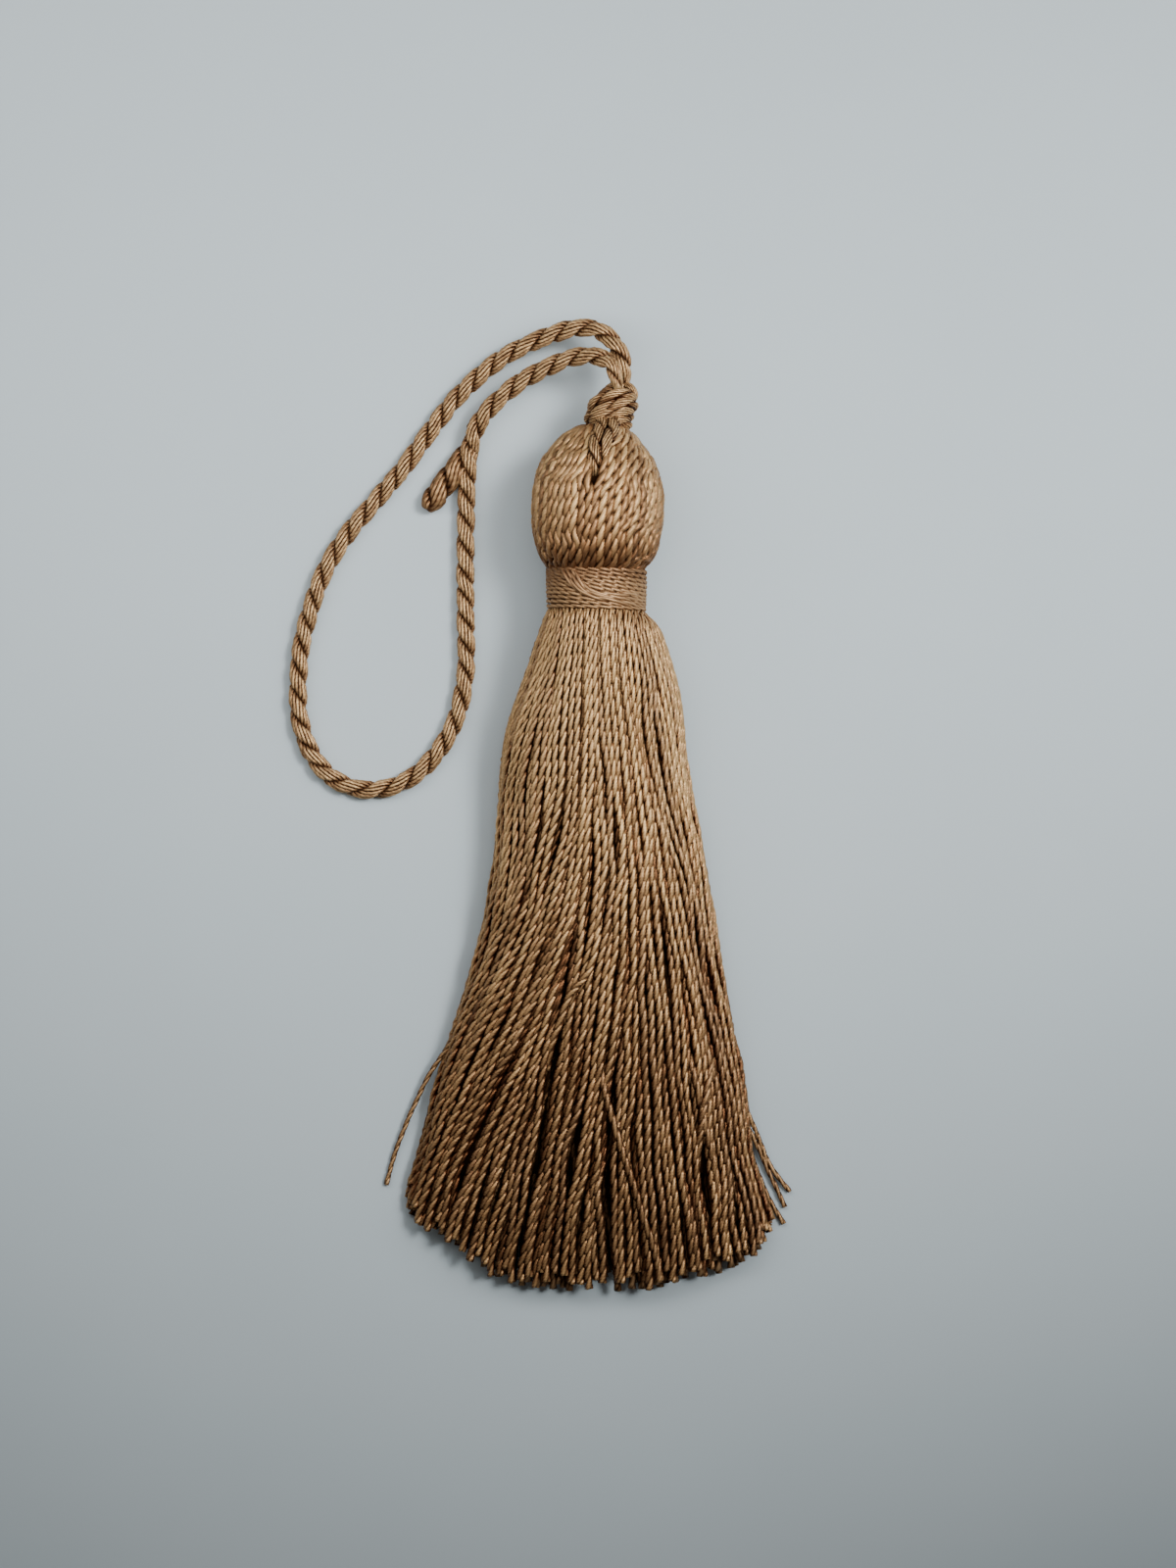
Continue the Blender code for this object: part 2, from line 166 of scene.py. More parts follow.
def strandPiece(name, strands, outline, material, node):
    # Strands as one mesh, an outline carried along each line and turned as it goes. Each has
    # its own strip in the map OFBake, and threadLay holds its turns and its sides.
    outline = np.asarray(outline, float)
    sides = len(outline)
    side = np.arange(sides)
    following = (side + 1) % sides
    shares = np.arctan2(outline[:, 1], outline[:, 0]) / tau % 1.0
    sharesNext = np.append(shares[1:], shares[0] + 1)
    angle = tau * side / sides
    longest = max(lengthsAlong(strand["points"])[-1] for strand in strands)
    strip = 1 / len(strands)
    sideStrip = strip * (1 - 2 * bakeMap["margin"]) / sides
    verts, quads, ends, tone, shade = [], [], [], [], []
    bake, lay, endBake, endLay = [], [], [], []
    first = 0
    for number, strand in enumerate(strands):
        count = len(strand["points"])
        rings, lit = strandRings(strand, outline)
        verts.append(rings.reshape(-1, 3))
        tone.append(np.full(count * sides, strand["tone"]))
        shade.append(lit.ravel())
        row = first + np.arange(count - 1)[:, None] * sides
        corners = [row + side, row + following, row + following + sides, row + side + sides]
        quads.append(np.stack(corners, -1).reshape(-1, 4))
        ends += [first + side[::-1], first + (count - 1) * sides + side]
        along = bakeMap["start"] + bakeMap["reach"] * lengthsAlong(strand["points"]) / longest
        near = strip * (number + bakeMap["margin"]) + sideStrip * side
        bake.append(quadCorners(along, near, near + sideStrip))
        spun = np.broadcast_to(strand["turn"], count) / tau
        lay.append(quadCorners(spun, shares, sharesNext))
        for place in bakeMap["caps"]:
            capX = place + bakeMap["capAlong"] * np.cos(angle)
            capY = strip * (number + 0.5 + bakeMap["capAcross"] * np.sin(angle))
            endBake.append(np.stack([capX, capY], 1))
            endLay.append(np.stack([np.zeros(sides), side / sides], 1))
        first += count * sides
    quads = np.concatenate(quads)
    loops = np.concatenate([quads.ravel(), *ends])
    sizes = np.repeat([4, sides], [len(quads), len(ends)])
    mesh = bpy.data.meshes.new(name)
    mesh.vertices.add(first)
    mesh.vertices.foreach_set("co", np.concatenate(verts).ravel() * mm)
    mesh.loops.add(len(loops))
    mesh.loops.foreach_set("vertex_index", loops)
    mesh.polygons.add(len(sizes))
    mesh.polygons.foreach_set("loop_start", np.cumsum(sizes) - sizes)
    mesh.polygons.foreach_set("use_smooth", np.repeat([True, False], [len(quads), len(ends)]))
    mesh.update(calc_edges=True)
    for layer, values in (("OFBake", bake + endBake), ("threadLay", lay + endLay)):
        mesh.uv_layers.new(name=layer).data.foreach_set("uv", np.concatenate(values).ravel())
    mesh.uv_layers.active = mesh.uv_layers["OFBake"]
    # threadShade holds the painted shade of each point; the finishes darken the colour by it.
    for attribute, values in (("threadTone", tone), ("threadShade", shade)):
        mesh.attributes.new(attribute, "FLOAT", "POINT").data.foreach_set("value", np.concatenate(values))
    mesh.validate()
    piece = bpy.data.objects.new(name, mesh)
    bpy.context.scene.collection.objects.link(piece)
    mesh.materials.append(material)
    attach(piece, "root")
    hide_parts(node)
    print(name, len(strands), "strands", len(quads) * 2, "triangles")
    return piece


def mathNode(operation, reflected=False):
    # A method of Value that makes a Math node.
    def made(self, other=0.0):
        first, second = (other, self) if reflected else (self, other)
        return self.finish.node("ShaderNodeMath", {"operation": operation}, {0: first, 1: second})("Value")
    return made


class Value:
    # A socket, so that maths on it can be written as such.
    def __init__(self, finish, socket):
        self.finish = finish
        self.socket = socket

    __add__, __radd__ = mathNode("ADD"), mathNode("ADD", True)
    __sub__, __rsub__ = mathNode("SUBTRACT"), mathNode("SUBTRACT", True)
    __mul__, __rmul__ = mathNode("MULTIPLY"), mathNode("MULTIPLY", True)
    __pow__, cosine, size = mathNode("POWER"), mathNode("COSINE"), mathNode("ABSOLUTE")
    atLeast, atMost = mathNode("MAXIMUM"), mathNode("MINIMUM")

    def clamped(self):
        return self.atLeast(0.0).atMost(1.0)


class Finish:
    # A material under construction.
    def __init__(self, name):
        self.material = bpy.data.materials.new(name)
        self.material.use_nodes = True
        self.tree = self.material.node_tree
        self.shader = self.tree.nodes["Principled BSDF"]

    def feed(self, socket, value):
        if isinstance(value, Value):
            self.tree.links.new(value.socket, socket)
        else:
            socket.default_value = value

    def node(self, kind, settings, inputs):
        # Returns what gives an output by its name.
        made = self.tree.nodes.new(kind)
        for name, value in settings.items():
            setattr(made, name, value)
        for name, value in inputs.items():
            self.feed(made.inputs[name], value)
        return lambda output: Value(self, made.outputs[output])

    def noise(self, vector, scale, detail, roughness=0.5):
        return self.node("ShaderNodeTexNoise", {"noise_dimensions": "3D"}, {
            "Vector": vector, "Scale": scale, "Detail": detail, "Roughness": roughness,
        })("Fac")

    def attribute(self, name):
        return self.node("ShaderNodeAttribute", {"attribute_name": name}, {})("Fac")

    def bump(self, height, strength, distance):
        return self.node("ShaderNodeBump", {}, {
            "Strength": strength, "Distance": distance * mm, "Height": height,
        })("Normal")

    def mixed(self, share, *colours, blend="MIX"):
        settings = {"data_type": "RGBA", "blend_type": blend, "clamp_result": False}
        first, second = ((*colour, 1.0) if isinstance(colour, tuple) else colour for colour in colours)
        return self.node("ShaderNodeMix", settings, {0: share, 6: first, 7: second})(2)

    def surface(self, values):
        for name, value in values.items():
            self.feed(self.shader.inputs[name], value)
        return self.material


silk = {
    "lit": (1.0, 0.65, 0.285), "deep": (0.43, 0.25, 0.12),
    "groove": (0.09, 0.032, 0.009),  # painted shade in the groove between the two plies
    "grooveDepth": 1.0, "grooveSharpness": 2.5,
    "shadow": (0.42, 0.075, 0.022),  # multiplies the colour where no light gets in
    "shadowDepth": 0.2,  # the light left there
    "shadowCurve": 0.62, "roughness": 0.48, "roughnessSpread": 0.2, "metallic": 0.3,
    "specular": 0.3,
    "filaments": 10.0,  # round a thread
    "filamentChange": 1.6,  # per turn
    "filamentLean": 3.0,  # how many a turn crosses
    "filamentRelief": 0.03, "reliefStrength": 0.2,
    "patches": 0.21,  # light and dark, per turn
    "brightness": 0.6, "toneDepth": 0.6, "patchDepth": 0.8, "grainDepth": 1.1,
    "apart": (31.0, 17.0, 57.0, 91.0),  # sets threads far apart in the noise
}


def silkFinish(name, changes):
    look = {**silk, **changes}
    finish = Finish(name)
    lay = finish.node("ShaderNodeUVMap", {"uv_map": "threadLay"}, {})("UV")
    parts = finish.node("ShaderNodeSeparateXYZ", {}, {"Vector": lay})
    turns, around = parts("X"), parts("Y")
    tone, shade = finish.attribute("threadTone"), finish.attribute("threadShade")
    apart = look["apart"]
    linePlace = finish.node("ShaderNodeCombineXYZ", {}, {
        "X": turns * look["filamentChange"] + tone * apart[0],
        "Y": around * look["filaments"] + turns * look["filamentLean"],
        "Z": tone * apart[1],
    })("Vector")
    patchPlace = finish.node("ShaderNodeCombineXYZ", {}, {
        "X": turns * look["patches"] + tone * apart[2], "Y": tone * apart[3],
    })("Vector")
    grain = finish.noise(linePlace, 1.0, 2.0, 0.6)
    patch = finish.noise(patchPlace, 1.0, 1.0)
    patchShift = (patch - 0.5) * look["patchDepth"]
    grainShift = (grain - 0.5) * look["grainDepth"]
    toneShift = (tone - 0.5) * look["toneDepth"]
    brightness = (toneShift + patchShift + grainShift + look["brightness"]).clamped()
    colour = finish.mixed(brightness, look["deep"], look["lit"])
    # Painted shade in the groove between the plies, darkest where the outline narrows.
    lobe = (around * tau).cosine().size()
    groove = ((1 - lobe * look["grooveSharpness"]).clamped() * look["grooveDepth"]).clamped()
    colour = finish.mixed(groove, colour, look["groove"])
    # Painted shade: threadShade tints the colour towards the shadow colour and dims it, and where it is low
    # the surface turns metallic so that no white sheen shows in the painted shade.
    shadow = finish.mixed(shade ** look["shadowCurve"], look["shadow"], (1.0, 1.0, 1.0))
    colour = finish.mixed(1.0, colour, shadow, blend="MULTIPLY")
    left = look["shadowDepth"] + shade * (1 - look["shadowDepth"])
    colour = finish.node("ShaderNodeVectorMath", {"operation": "SCALE"}, {"Vector": colour, "Scale": left})
    return finish.surface({
        "Base Color": colour("Vector"),
        "Roughness": (grain - 0.5) * look["roughnessSpread"] + look["roughness"],
        "Metallic": 1 - shade * (1 - look["metallic"]),
        "Normal": finish.bump(grain, look["reliefStrength"], look["filamentRelief"]),
        "Specular IOR Level": look["specular"],
    })


# Painted shade: the inside of the hank, seen through gaps, is coloured as dark as the shade there.
core = {
    "dark": (0.006, 0.0025, 0.001), "light": (0.04, 0.016, 0.006),
    "strands": 2200.0,  # per metre
    "stretch": 0.03, "relief": 0.2, "reliefStrength": 0.6, "roughness": 0.9,
}


def shadedCoreFinish(name):
    finish = Finish(name)
    place = finish.node("ShaderNodeTexCoord", {}, {})("Object")
    stretched = finish.node("ShaderNodeMapping", {}, {"Vector": place, "Scale": (1.0, core["stretch"], 1.0)})
    strands = finish.noise(stretched("Vector"), core["strands"], 1.0)
    return finish.surface({
        "Base Color": finish.mixed(strands, core["dark"], core["light"]),
        "Normal": finish.bump(strands, core["reliefStrength"], core["relief"]),
        "Roughness": core["roughness"],
        "Specular IOR Level": 0.0,
    })


table = {
    "side": 4.0,  # in metres
    "dark": (0.50, 0.565, 0.59), "light": (0.525, 0.59, 0.615),
    "grain": 60.0,  # per metre
    "roughness": 0.62, "specular": 0.3,
}


def tableFinish(name):
    finish = Finish(name)
    place = finish.node("ShaderNodeTexCoord", {}, {})("Object")
    grain = finish.noise(place, table["grain"], 2.0)
    return finish.surface({
        "Base Color": finish.mixed(grain, table["dark"], table["light"]),
        "Roughness": table["roughness"],
        "Specular IOR Level": table["specular"],
    })


view = {
    "middle": (-0.2, 7.4), "height": 503.0,
    "level": 3.0,  # where the picture's longer side takes in its length
    "length": 160.0, "sensor": 36.0,
}


def setCamera():
    across, along = view["middle"]
    bpy.ops.object.camera_add(location=(across * mm, along * mm, view["height"] * mm), rotation=(0, 0, 0))
    camera = bpy.context.object
    camera.data.sensor_fit = "AUTO"
    camera.data.sensor_width = view["sensor"]
    camera.data.lens = view["sensor"] * (view["height"] - view["level"]) / view["length"]
    bpy.context.scene.camera = camera


studio = {
    "sky": (0.62, 0.56, 0.52), "skyStrength": 0.05,
    "lamps": [  # name, place, aim and sides in metres, spread in degrees, power, colour
        ("windowLight", (0.22, 0.15, 0.28), (0.042, 0.08, 0), (0.24, 0.24), 26, 0.155, (0.95, 0.985, 1)),
        ("roomLight", (0.05, 0.051, 0.105), (0.05, 0.051, 0), (0.5, 0.07), 180, 0.335, (0.96, 0.985, 1)),
        ("lowLight", (-0.02, -0.2, 0.2), (0, -0.03, 0), (0.2, 0.2), 70, 0.006, (1, 0.97, 0.93)),
    ],
}


def setStudio():
    bpy.ops.mesh.primitive_plane_add(size=table["side"], location=(0, 0, 0))
    top = bpy.context.object
    top.name = "table"
    top.data.materials.append(tableFinish("paleTable"))
    world = bpy.data.worlds.new("room")
    world.use_nodes = True
    sky = world.node_tree.nodes["Background"]
    sky.inputs["Color"].default_value = (*studio["sky"], 1.0)
    sky.inputs["Strength"].default_value = studio["skyStrength"]
    bpy.context.scene.world = world
    for name, place, aim, sides, spread, power, colour in studio["lamps"]:
        turn = (Vector(aim) - Vector(place)).to_track_quat("-Z", "Y").to_euler()
        bpy.ops.object.light_add(type="AREA", location=place, rotation=turn)
        lamp = bpy.context.object
        lamp.name = name
        lamp.data.shape = "RECTANGLE"
        lamp.data.size, lamp.data.size_y = sides
        lamp.data.spread = math.radians(spread)
        lamp.data.energy = power
        lamp.data.color = colour


setCamera()
setStudio()
print("camera, table and light are set")

cordRoute = [
    (3.45, 48.75, 5.6), (3.35, 50.1, 5.75), (2.8, 51.6, 5.5), (1.9, 52.8, 5.1), (0.4, 53.7, 4.6),
    (-1.6, 53.8, 4), (-4, 53.2, 3.3), (-6.6, 52.2, 2.6), (-9.2, 50.8, 1.95), (-11.6, 48.95, 1.45),
    (-13.9, 46.7, 1.1), (-16.4, 43.5, 0.9), (-19.1, 39.8, 0.87), (-21.9, 36.5, 0.87), (-24.7, 33.2, 0.87),
    (-27.1, 29.4, 0.87), (-28.5, 25.7, 0.87), (-29.5, 21.9, 0.87), (-29.9, 17.9, 0.87), (-29.7, 13.9, 0.87),
    (-28.6, 10.7, 0.87), (-26.5, 8.1, 0.87), (-23.6, 6.9, 0.87), (-20.6, 7.05, 0.87), (-17.7, 8.5, 0.87),
    (-15.3, 11.1, 0.87), (-13.6, 14.5, 0.87), (-12.8, 18.4, 0.87), (-12.75, 25, 0.87), (-12.75, 31.9, 0.87),
    (-12.65, 36.3, 0.95), (-12.5, 39.7, 1.2), (-12.1, 42.5, 1.6), (-11.1, 44.7, 2.1), (-9.5, 46.5, 2.7),
    (-7.2, 48.3, 3.5), (-4.4, 49.75, 4.5), (-1.8, 50.7, 5.4), (0.5, 50.75, 6.4), (2.1, 49.95, 7.2),
    (2.55, 48.75, 7.45),
]
outOfKnot = [(3.0, 47.0, 5.9), (3.35, 48.0, 5.6)]
intoKnot = [(2.75, 48.0, 7.3), (2.9, 47.2, 6.9)]
tailRoute = [
    (-11.9, 42.4, 0.95), (-12.5, 41.3, 0.95), (-13.55, 39.9, 0.97), (-14.6, 38.5, 0.97),
    (-15.6, 37.2, 0.97), (-16.3, 36.2, 0.97), (-16.7, 35.6, 0.97),
]
tailBump = [(-11.5, 43.3, 1.2), (-12, 43.85, 1.2), (-12.45, 44.2, 1.1)]
cord = {
    "diameter": 1.7,
    "loosened": 1.1,  # how much thicker the loop is
    "plyOffset": 0.21,  # shares of the diameter, as far as yarnWidth
    "plyHeight": 0.205, "plyWidth": 0.305,
    "yarnReach": 0.41,  # the furthest a yarn's middle lies out
    "yarnWidth": 0.195, "yarnsInPly": 9,
    "yarnUneven": (0.06, 2.6),  # how far, and over what length
    "plyTurn": 5.1,  # length of cord to a turn
    "yarnTurn": 3.4, "turnUneven": (0.3, 13.0),
    "start": 0.0,  # how far the plies are turned at first
    "step": 0.27,
    "ends": 0.0,  # over what length at either end the plies draw in
    "endWidth": 0.35, "endYarn": 0.8,
    "grooveShade": 0.26,  # the light left between the plies
    "groove": (0.05, 0.16),  # where it begins to rise going out, and over how much
    "sideShade": 0.06,  # the light left on the sides that face into a knot
    "sides": (0.08, 0.62),  # the same for them
    "shadeFrom": 0.05,
}
loop = {**cord, "diameter": cord["diameter"] * cord["loosened"], "ends": 4.5}
tail = {**cord, "diameter": 2.45, "plyTurn": 5.7, "yarnTurn": 4.6, "start": 0.8, "step": 0.2, "ends": 1.3}
bump = {**cord, "diameter": 1.1, "plyTurn": 4.0, "step": 0.2, "ends": 0.6}
tailLook = {"shade": 0.68, "width": 1.12}  # the tail's painted shade and width, next to the rest of the cord


def plySection(share):
    # How far out and to the side a ply's outline lies, share going once round it.
    around = np.linspace(0, tau, 121)
    out = cord["plyOffset"] + cord["plyHeight"] * np.cos(around)
    side = cord["plyWidth"] * np.sin(around)
    inward = np.minimum(1.0, cord["yarnReach"] / np.hypot(out, side))
    out, side = out * inward, side * inward
    walked = lengthsAlong(np.stack([out, side], 1))
    wanted = (share % 1.0) * walked[-1]
    return np.interp(wanted, walked, out), np.interp(wanted, walked, side)


def ropeStrands(route, rng, rope, about=None):
    # Two plies twisted one way, each of yarns twisted the other way, with painted shade between the plies
    # and on the sides that face the point about.
    middle = evenLine(route, rope["step"])
    walked = lengthsAlong(middle)
    drawn = np.ones(len(middle))
    if rope["ends"]:
        fromEnd = np.minimum(walked, walked[-1] - walked)
        drawn = rope["endWidth"] + (1 - rope["endWidth"]) * np.sqrt(smoothStep(fromEnd / rope["ends"]))
    across, upward = carriedFrames(middle)
    away = None if about is None else unit(middle - about)
    width = rope["yarnWidth"] * rope["diameter"] * (rope["endYarn"] + (1 - rope["endYarn"]) * drawn)
    strands = []
    turned = rope["start"] - tau * walked / rope["plyTurn"] + wander(rng, walked, *rope["turnUneven"])
    for ply in range(2):
        turn = (math.pi * ply + turned)[:, None]
        outward = np.cos(turn) * across + np.sin(turn) * upward
        crosswise = np.cos(turn) * upward - np.sin(turn) * across
        for yarn in range(rope["yarnsInPly"]):
            lay = yarn / rope["yarnsInPly"] + walked / rope["yarnTurn"]
            out, side = plySection(lay)
            scale = rope["diameter"] * drawn * (1 + wander(rng, walked, *rope["yarnUneven"]))
            shift = (out * scale)[:, None] * outward + (side * scale)[:, None] * crosswise
            facing = unit(shift)
            begin, rise = rope["groove"]
            shade = rope["grooveShade"] + (1 - rope["grooveShade"]) * smoothStep((out - begin) / rise)
            if away is not None:
                begin, rise = rope["sides"]
                lightOut = smoothStep(((facing * away).sum(1) - begin) / rise)
                shade = shade * (rope["sideShade"] + (1 - rope["sideShade"]) * lightOut)
            strands.append({
                "points": middle + shift,
                "turn": tau * lay,
                "width": width,
                "tone": rng.uniform(0.0, 1.0),
                "outward": facing,
                "shade": shade,
                "shadeFrom": rope["shadeFrom"],
            })
    return strands


cordSilk = silkFinish("cordSilk", {
    "lit": (0.79, 0.51, 0.24), "deep": (0.36, 0.195, 0.085), "grooveDepth": 0.0,
    "shadow": (0.45, 0.11, 0.045), "shadowDepth": 0.10, "metallic": 0.4,
    "patches": 3.6, "toneDepth": 0.45, "patchDepth": 2.2, "grainDepth": 1.2,
})
threadSilk = silkFinish("threadSilk", {})
bindingSilk = silkFinish("bindingSilk", {
    "lit": (0.86, 0.565, 0.28), "deep": (0.42, 0.235, 0.105), "grooveDepth": 0.6,
})
shadedSilk = silkFinish("shadedSilk", {
    "lit": (0.56, 0.37, 0.19), "deep": (0.3, 0.18, 0.085),
    "shadow": (0.55, 0.27, 0.13), "shadowDepth": 0.32,
})


def cordPiece(name, strands, node):
    return strandPiece(name, strands, roundYarn, cordSilk, node)


def layCord():
    rng = np.random.default_rng(41)
    route = outOfKnot + cordRoute + intoKnot
    loopPiece = cordPiece("loopCord", ropeStrands(route, rng, loop), "cord_loop")
    strands = ropeStrands(tailRoute, rng, tail) + ropeStrands(tailBump, rng, bump)
    for strand in strands:
        for name, factor in tailLook.items():
            strand[name] = factor * strand[name]
    tailPiece = cordPiece("cordTail", strands, "cord_pigtail")


layCord()

headSections = {
    "rows": [  # along, left edge, right edge
        (43.72, 0.1, 2.1), (43.4, -1.3, 3.3), (42.9, -2.3, 4.25), (42.4, -3.05, 4.8),
        (41.4, -3.9, 5.5), (40.4, -4.7, 6.2), (39.4, -5.2, 6.7), (38.4, -5.5, 7),
        (36.9, -5.75, 7.35), (35.4, -5.8, 7.4), (33.9, -5.78, 7.35), (32.4, -5.6, 7.05),
        (31.3, -5.3, 6.8), (30.5, -4.98, 6.45), (29.9, -4.55, 5.95), (29.3, -4.15, 5.4),
        (28.5, -3.6, 4.8),
    ],
    "axisHeight": 6.5, "lowest": 0.3,
}
skirtSections = {
    "swell": 1.35,  # above 1 the underside is fuller than half an ellipse
    "rows": [  # along, left edge, right edge, lowest, height of the edges, top
        (27.2, -3.7, 5, 1.9, 6.2, 10.5), (25.6, -3.9, 5.2, 1.7, 6.2, 10.7),
        (24.6, -4.65, 5.85, 1, 6.2, 11.4), (23.4, -5.1, 7, 0.4, 5.7, 11.7),
        (21.4, -5.8, 7.9, 0, 5.1, 11.7), (19.4, -6.4, 8.5, 0, 4.6, 11.5),
        (17.4, -7.1, 9.05, 0, 4.2, 11.25), (13.4, -8.45, 9.7, 0, 3.5, 10.8),
        (9.4, -9.15, 10.05, 0, 3, 10.3), (5.4, -9.4, 10.7, 0, 2.6, 9.9),
        (1.4, -9.7, 11.5, 0, 2.3, 9.5), (-2.6, -10.2, 12.25, 0, 2, 9.1),
        (-6.6, -10.95, 12.85, 0, 1.8, 8.7), (-10.6, -12, 13.5, 0, 1.6, 8.3),
        (-14.6, -13.15, 14.25, 0, 1.4, 7.8), (-18.6, -14.45, 15, 0, 1.3, 7.3),
        (-22.6, -15.7, 15.8, 0, 1.2, 6.8), (-26.6, -16.75, 16.45, 0, 1.1, 6.3),
        (-30.6, -17.8, 16.8, 0, 1, 5.8), (-34.6, -19, 17.95, 0, 0.9, 5.2),
        (-39, -20.05, 19.6, 0, 0.8, 4.2), (-43.8, -21, 21, 0, 0.7, 3),
        (-45, -21.2, 21.2, 0, 0.7, 2.7),
    ],
}
hemLine = [  # share of the way across, along
    (0, -34), (0.03, -35.6), (0.07, -36.8), (0.12, -38.1), (0.18, -39.3), (0.22, -40.9), (0.28, -42.2),
    (0.34, -43), (0.45, -43.3), (0.62, -43.3), (0.7, -43), (0.78, -42.1), (0.86, -41.1), (0.91, -39.6),
    (0.96, -38.2), (1, -36.4),
]


def readRows(sections, along):
    # Every column of the sections at the wanted places.
    rows = np.asarray(sorted(sections["rows"]), float)
    return [easeThrough(rows[:, 0], column, along) for column in rows.T[1:]]


def skirtPoint(along, turn, inset):
    # A point of the skirt, turn going from 0 at the left edge over the top to pi at the right.
    left, right, low, side, top = readRows(skirtSections, along)
    half = (right - left) / 2
    rise = top - side
    x = (left + right) / 2 - half * np.cos(turn)
    above = side + rise * np.sin(turn)
    below = np.maximum(low + inset, side + (side - low) * skirtSections["swell"] * np.sin(turn))
    normalX = -rise * np.cos(turn)
    normalZ = half * np.sin(turn)
    size = np.hypot(normalX, normalZ)
    over = np.sin(turn) >= 0
    x = x - inset * np.where(over, normalX / size, -np.cos(turn))
    z = np.where(over, above - inset * normalZ / size, below)
    return np.stack([x, along, np.maximum(z, inset)], -1)


def headPoint(along, turn, inset):
    # A point of the head, turn going from 0 on top to the right.
    left, right = readRows(headSections, along)
    reach = (right - left) / 2 - inset
    x = (left + right) / 2 + reach * np.sin(turn)
    z = headSections["axisHeight"] + reach * np.cos(turn)
    return np.stack([x, along, np.maximum(z, headSections["lowest"])], -1)

guideLevels = [24.4, 18.4, 12.4, 6.4, 0.4, -5.6, -11.6, -17.6, -23.6, -29.6, -35.6, -41.6]
guideThreads = {  # where each lies across, at the levels above
    "a1": (-4.6, -6.6, -8.5, -9.3, -9.4, -10.5, -12.1, -14, -16.1, -17.7, -19.3, -20.4),
    "a2": (-3.8, -5.2, -6.8, -7.9, -8.1, -9.1, -10.9, -13.4, -15.6, -17.3, -18.9, -20.1),
    "b1": (-2.9, -3.6, -4.3, -4.9, -5.4, -7.3, -9.7, -12.7, -15.2, -16.9, -18.5, -19.7),
    "b2": (-1.6, -2, -2.4, -2.75, -3.8, -5.2, -7.2, -9.3, -12.2, -14.9, -16.8, -18.1),
    "c1": (-0.7, -0.8, -0.7, -1.1, -1.9, -3.2, -5.6, -8.2, -10.7, -13.6, -15.6, -17),
    "c2": (-0.35, -0.55, -0.5, -0.7, -1.35, -2.3, -4.2, -6.4, -9.5, -12.4, -14.2, -15.5),
    "c3": (-0.1, -0.35, -0.35, -0.4, -0.95, -1.8, -3.2, -5.1, -7.4, -9.7, -11.5, -12.9),
    "d1": (0.15, -0.15, -0.1, -0.1, -0.6, -1.4, -2.5, -3.45, -4.1, -5.1, -6.4, -7.5),
    "d2": (0.4, 0.1, 0.2, 0.3, 0.05, -0.3, -1, -1.6, -2.5, -3.6, -4.6, -5.4),
    "e1": (1, 1.1, 1.6, 2.4, 2.8, 2.2, 1.3, 0.4, -0.5, -1.5, -2.6, -3.2),
    "e2": (2, 2.2, 2.9, 3.5, 3.9, 3.9, 3.9, 3.3, 2.3, 1.6, 1.7, 2),
    "f1": (2.7, 3.1, 3.9, 4.6, 5.3, 5.6, 5.7, 5.9, 6, 6.3, 6.9, 7.3),
    "f2": (3.4, 4, 4.9, 6, 6.7, 7.2, 7.8, 8.4, 8.8, 9.5, 10.6, 11.6),
    "g1": (3.9, 4.6, 5.2, 6.3, 7.4, 8.4, 9.3, 10.2, 10.9, 11.3, 11.8, 12.6),
    "g2": (4.3, 5.2, 5.5, 6.7, 8.3, 9.8, 11, 12.2, 13.5, 14.4, 15.6, 16.4),
    "h1": (5.3, 6.9, 8, 8.9, 10.4, 11.5, 12.15, 13.6, 14.8, 15.7, 17.2, 18.2),
    "h2": (6.3, 8.8, 9.7, 10.4, 11.6, 12.7, 13.8, 14.8, 15.8, 16.6, 18.6, 19.8),
}
partings = [  # guide, where its dark slit starts, where it ends, how wide it opens
    ("a2", 9.9, 4.9, 0.2), ("b1", 5.4, -2.6, 0.15), ("b2", 7.4, -5.6, 0.25), ("b2", -13.8, -19.1, 0.4),
    ("c2", -18.6, -36.1, 0.8), ("d1", -6.1, -35.6, 0.7), ("d2", 7.9, -8.6, 0.3), ("e1", 8.4, -2.1, 0.3),
    ("e1", -25.6, -35.6, 0.9), ("e2", 2, -2.6, 0.4), ("e2", -14.1, -18.6, 0.4), ("e2", -22.1, -38.6, 0.6),
    ("f2", -2.6, -14.1, 0.5), ("g1", -27.6, -37.6, 0.5), ("h1", -1.1, -18.6, 0.4),
]
thread = {
    "width": 0.83, "widthVaries": 0.08,
    "twist": 2.95,  # length of thread to a turn
    "uneven": 0.14,  # how much that varies
    "unevenInStep": 0.035,  # and in threads that turn in step
    "inStep": -0.38 * math.pi,  # turned from the one beside it
    "opened": 1.3,  # length of a cut end
    "openedWidth": 0.1, "step": 0.29, "hiddenStep": 0.5, "underStep": 0.6, "top": 26.6,
    "foot": -44.6, "lineStep": 0.5,
    "sink": 0.6,  # how deep a thread dives where it has no room on top
    "clump": 0.2,  # how far threads of a clump draw together
    "closest": 0.08, "endJitter": 1.0,
    "looseFrom": (24.0, 26.0),  # where threads begin to lie loose, and over what length
    "lightFrom": (20.0, 30.0),
    "turnWander": (5.5, 11.0),  # how far, next to uneven, and over what length
    "lightWander": (0.14, 16.0), "clumpWander": (0.8, 24.0), "sway": (0.16, 19.0),
    "lift": (0.16, 15.0), "slitTaper": 4.0, "openedLight": 0.5,
}
spacingLevels = (25.0, 17.5, 4.0, -43.0)  # for the spacings below
topLayer = {"spacing": (0.48, 0.69, 0.78, 0.84), "depth": 0.36, "slits": 1.0}
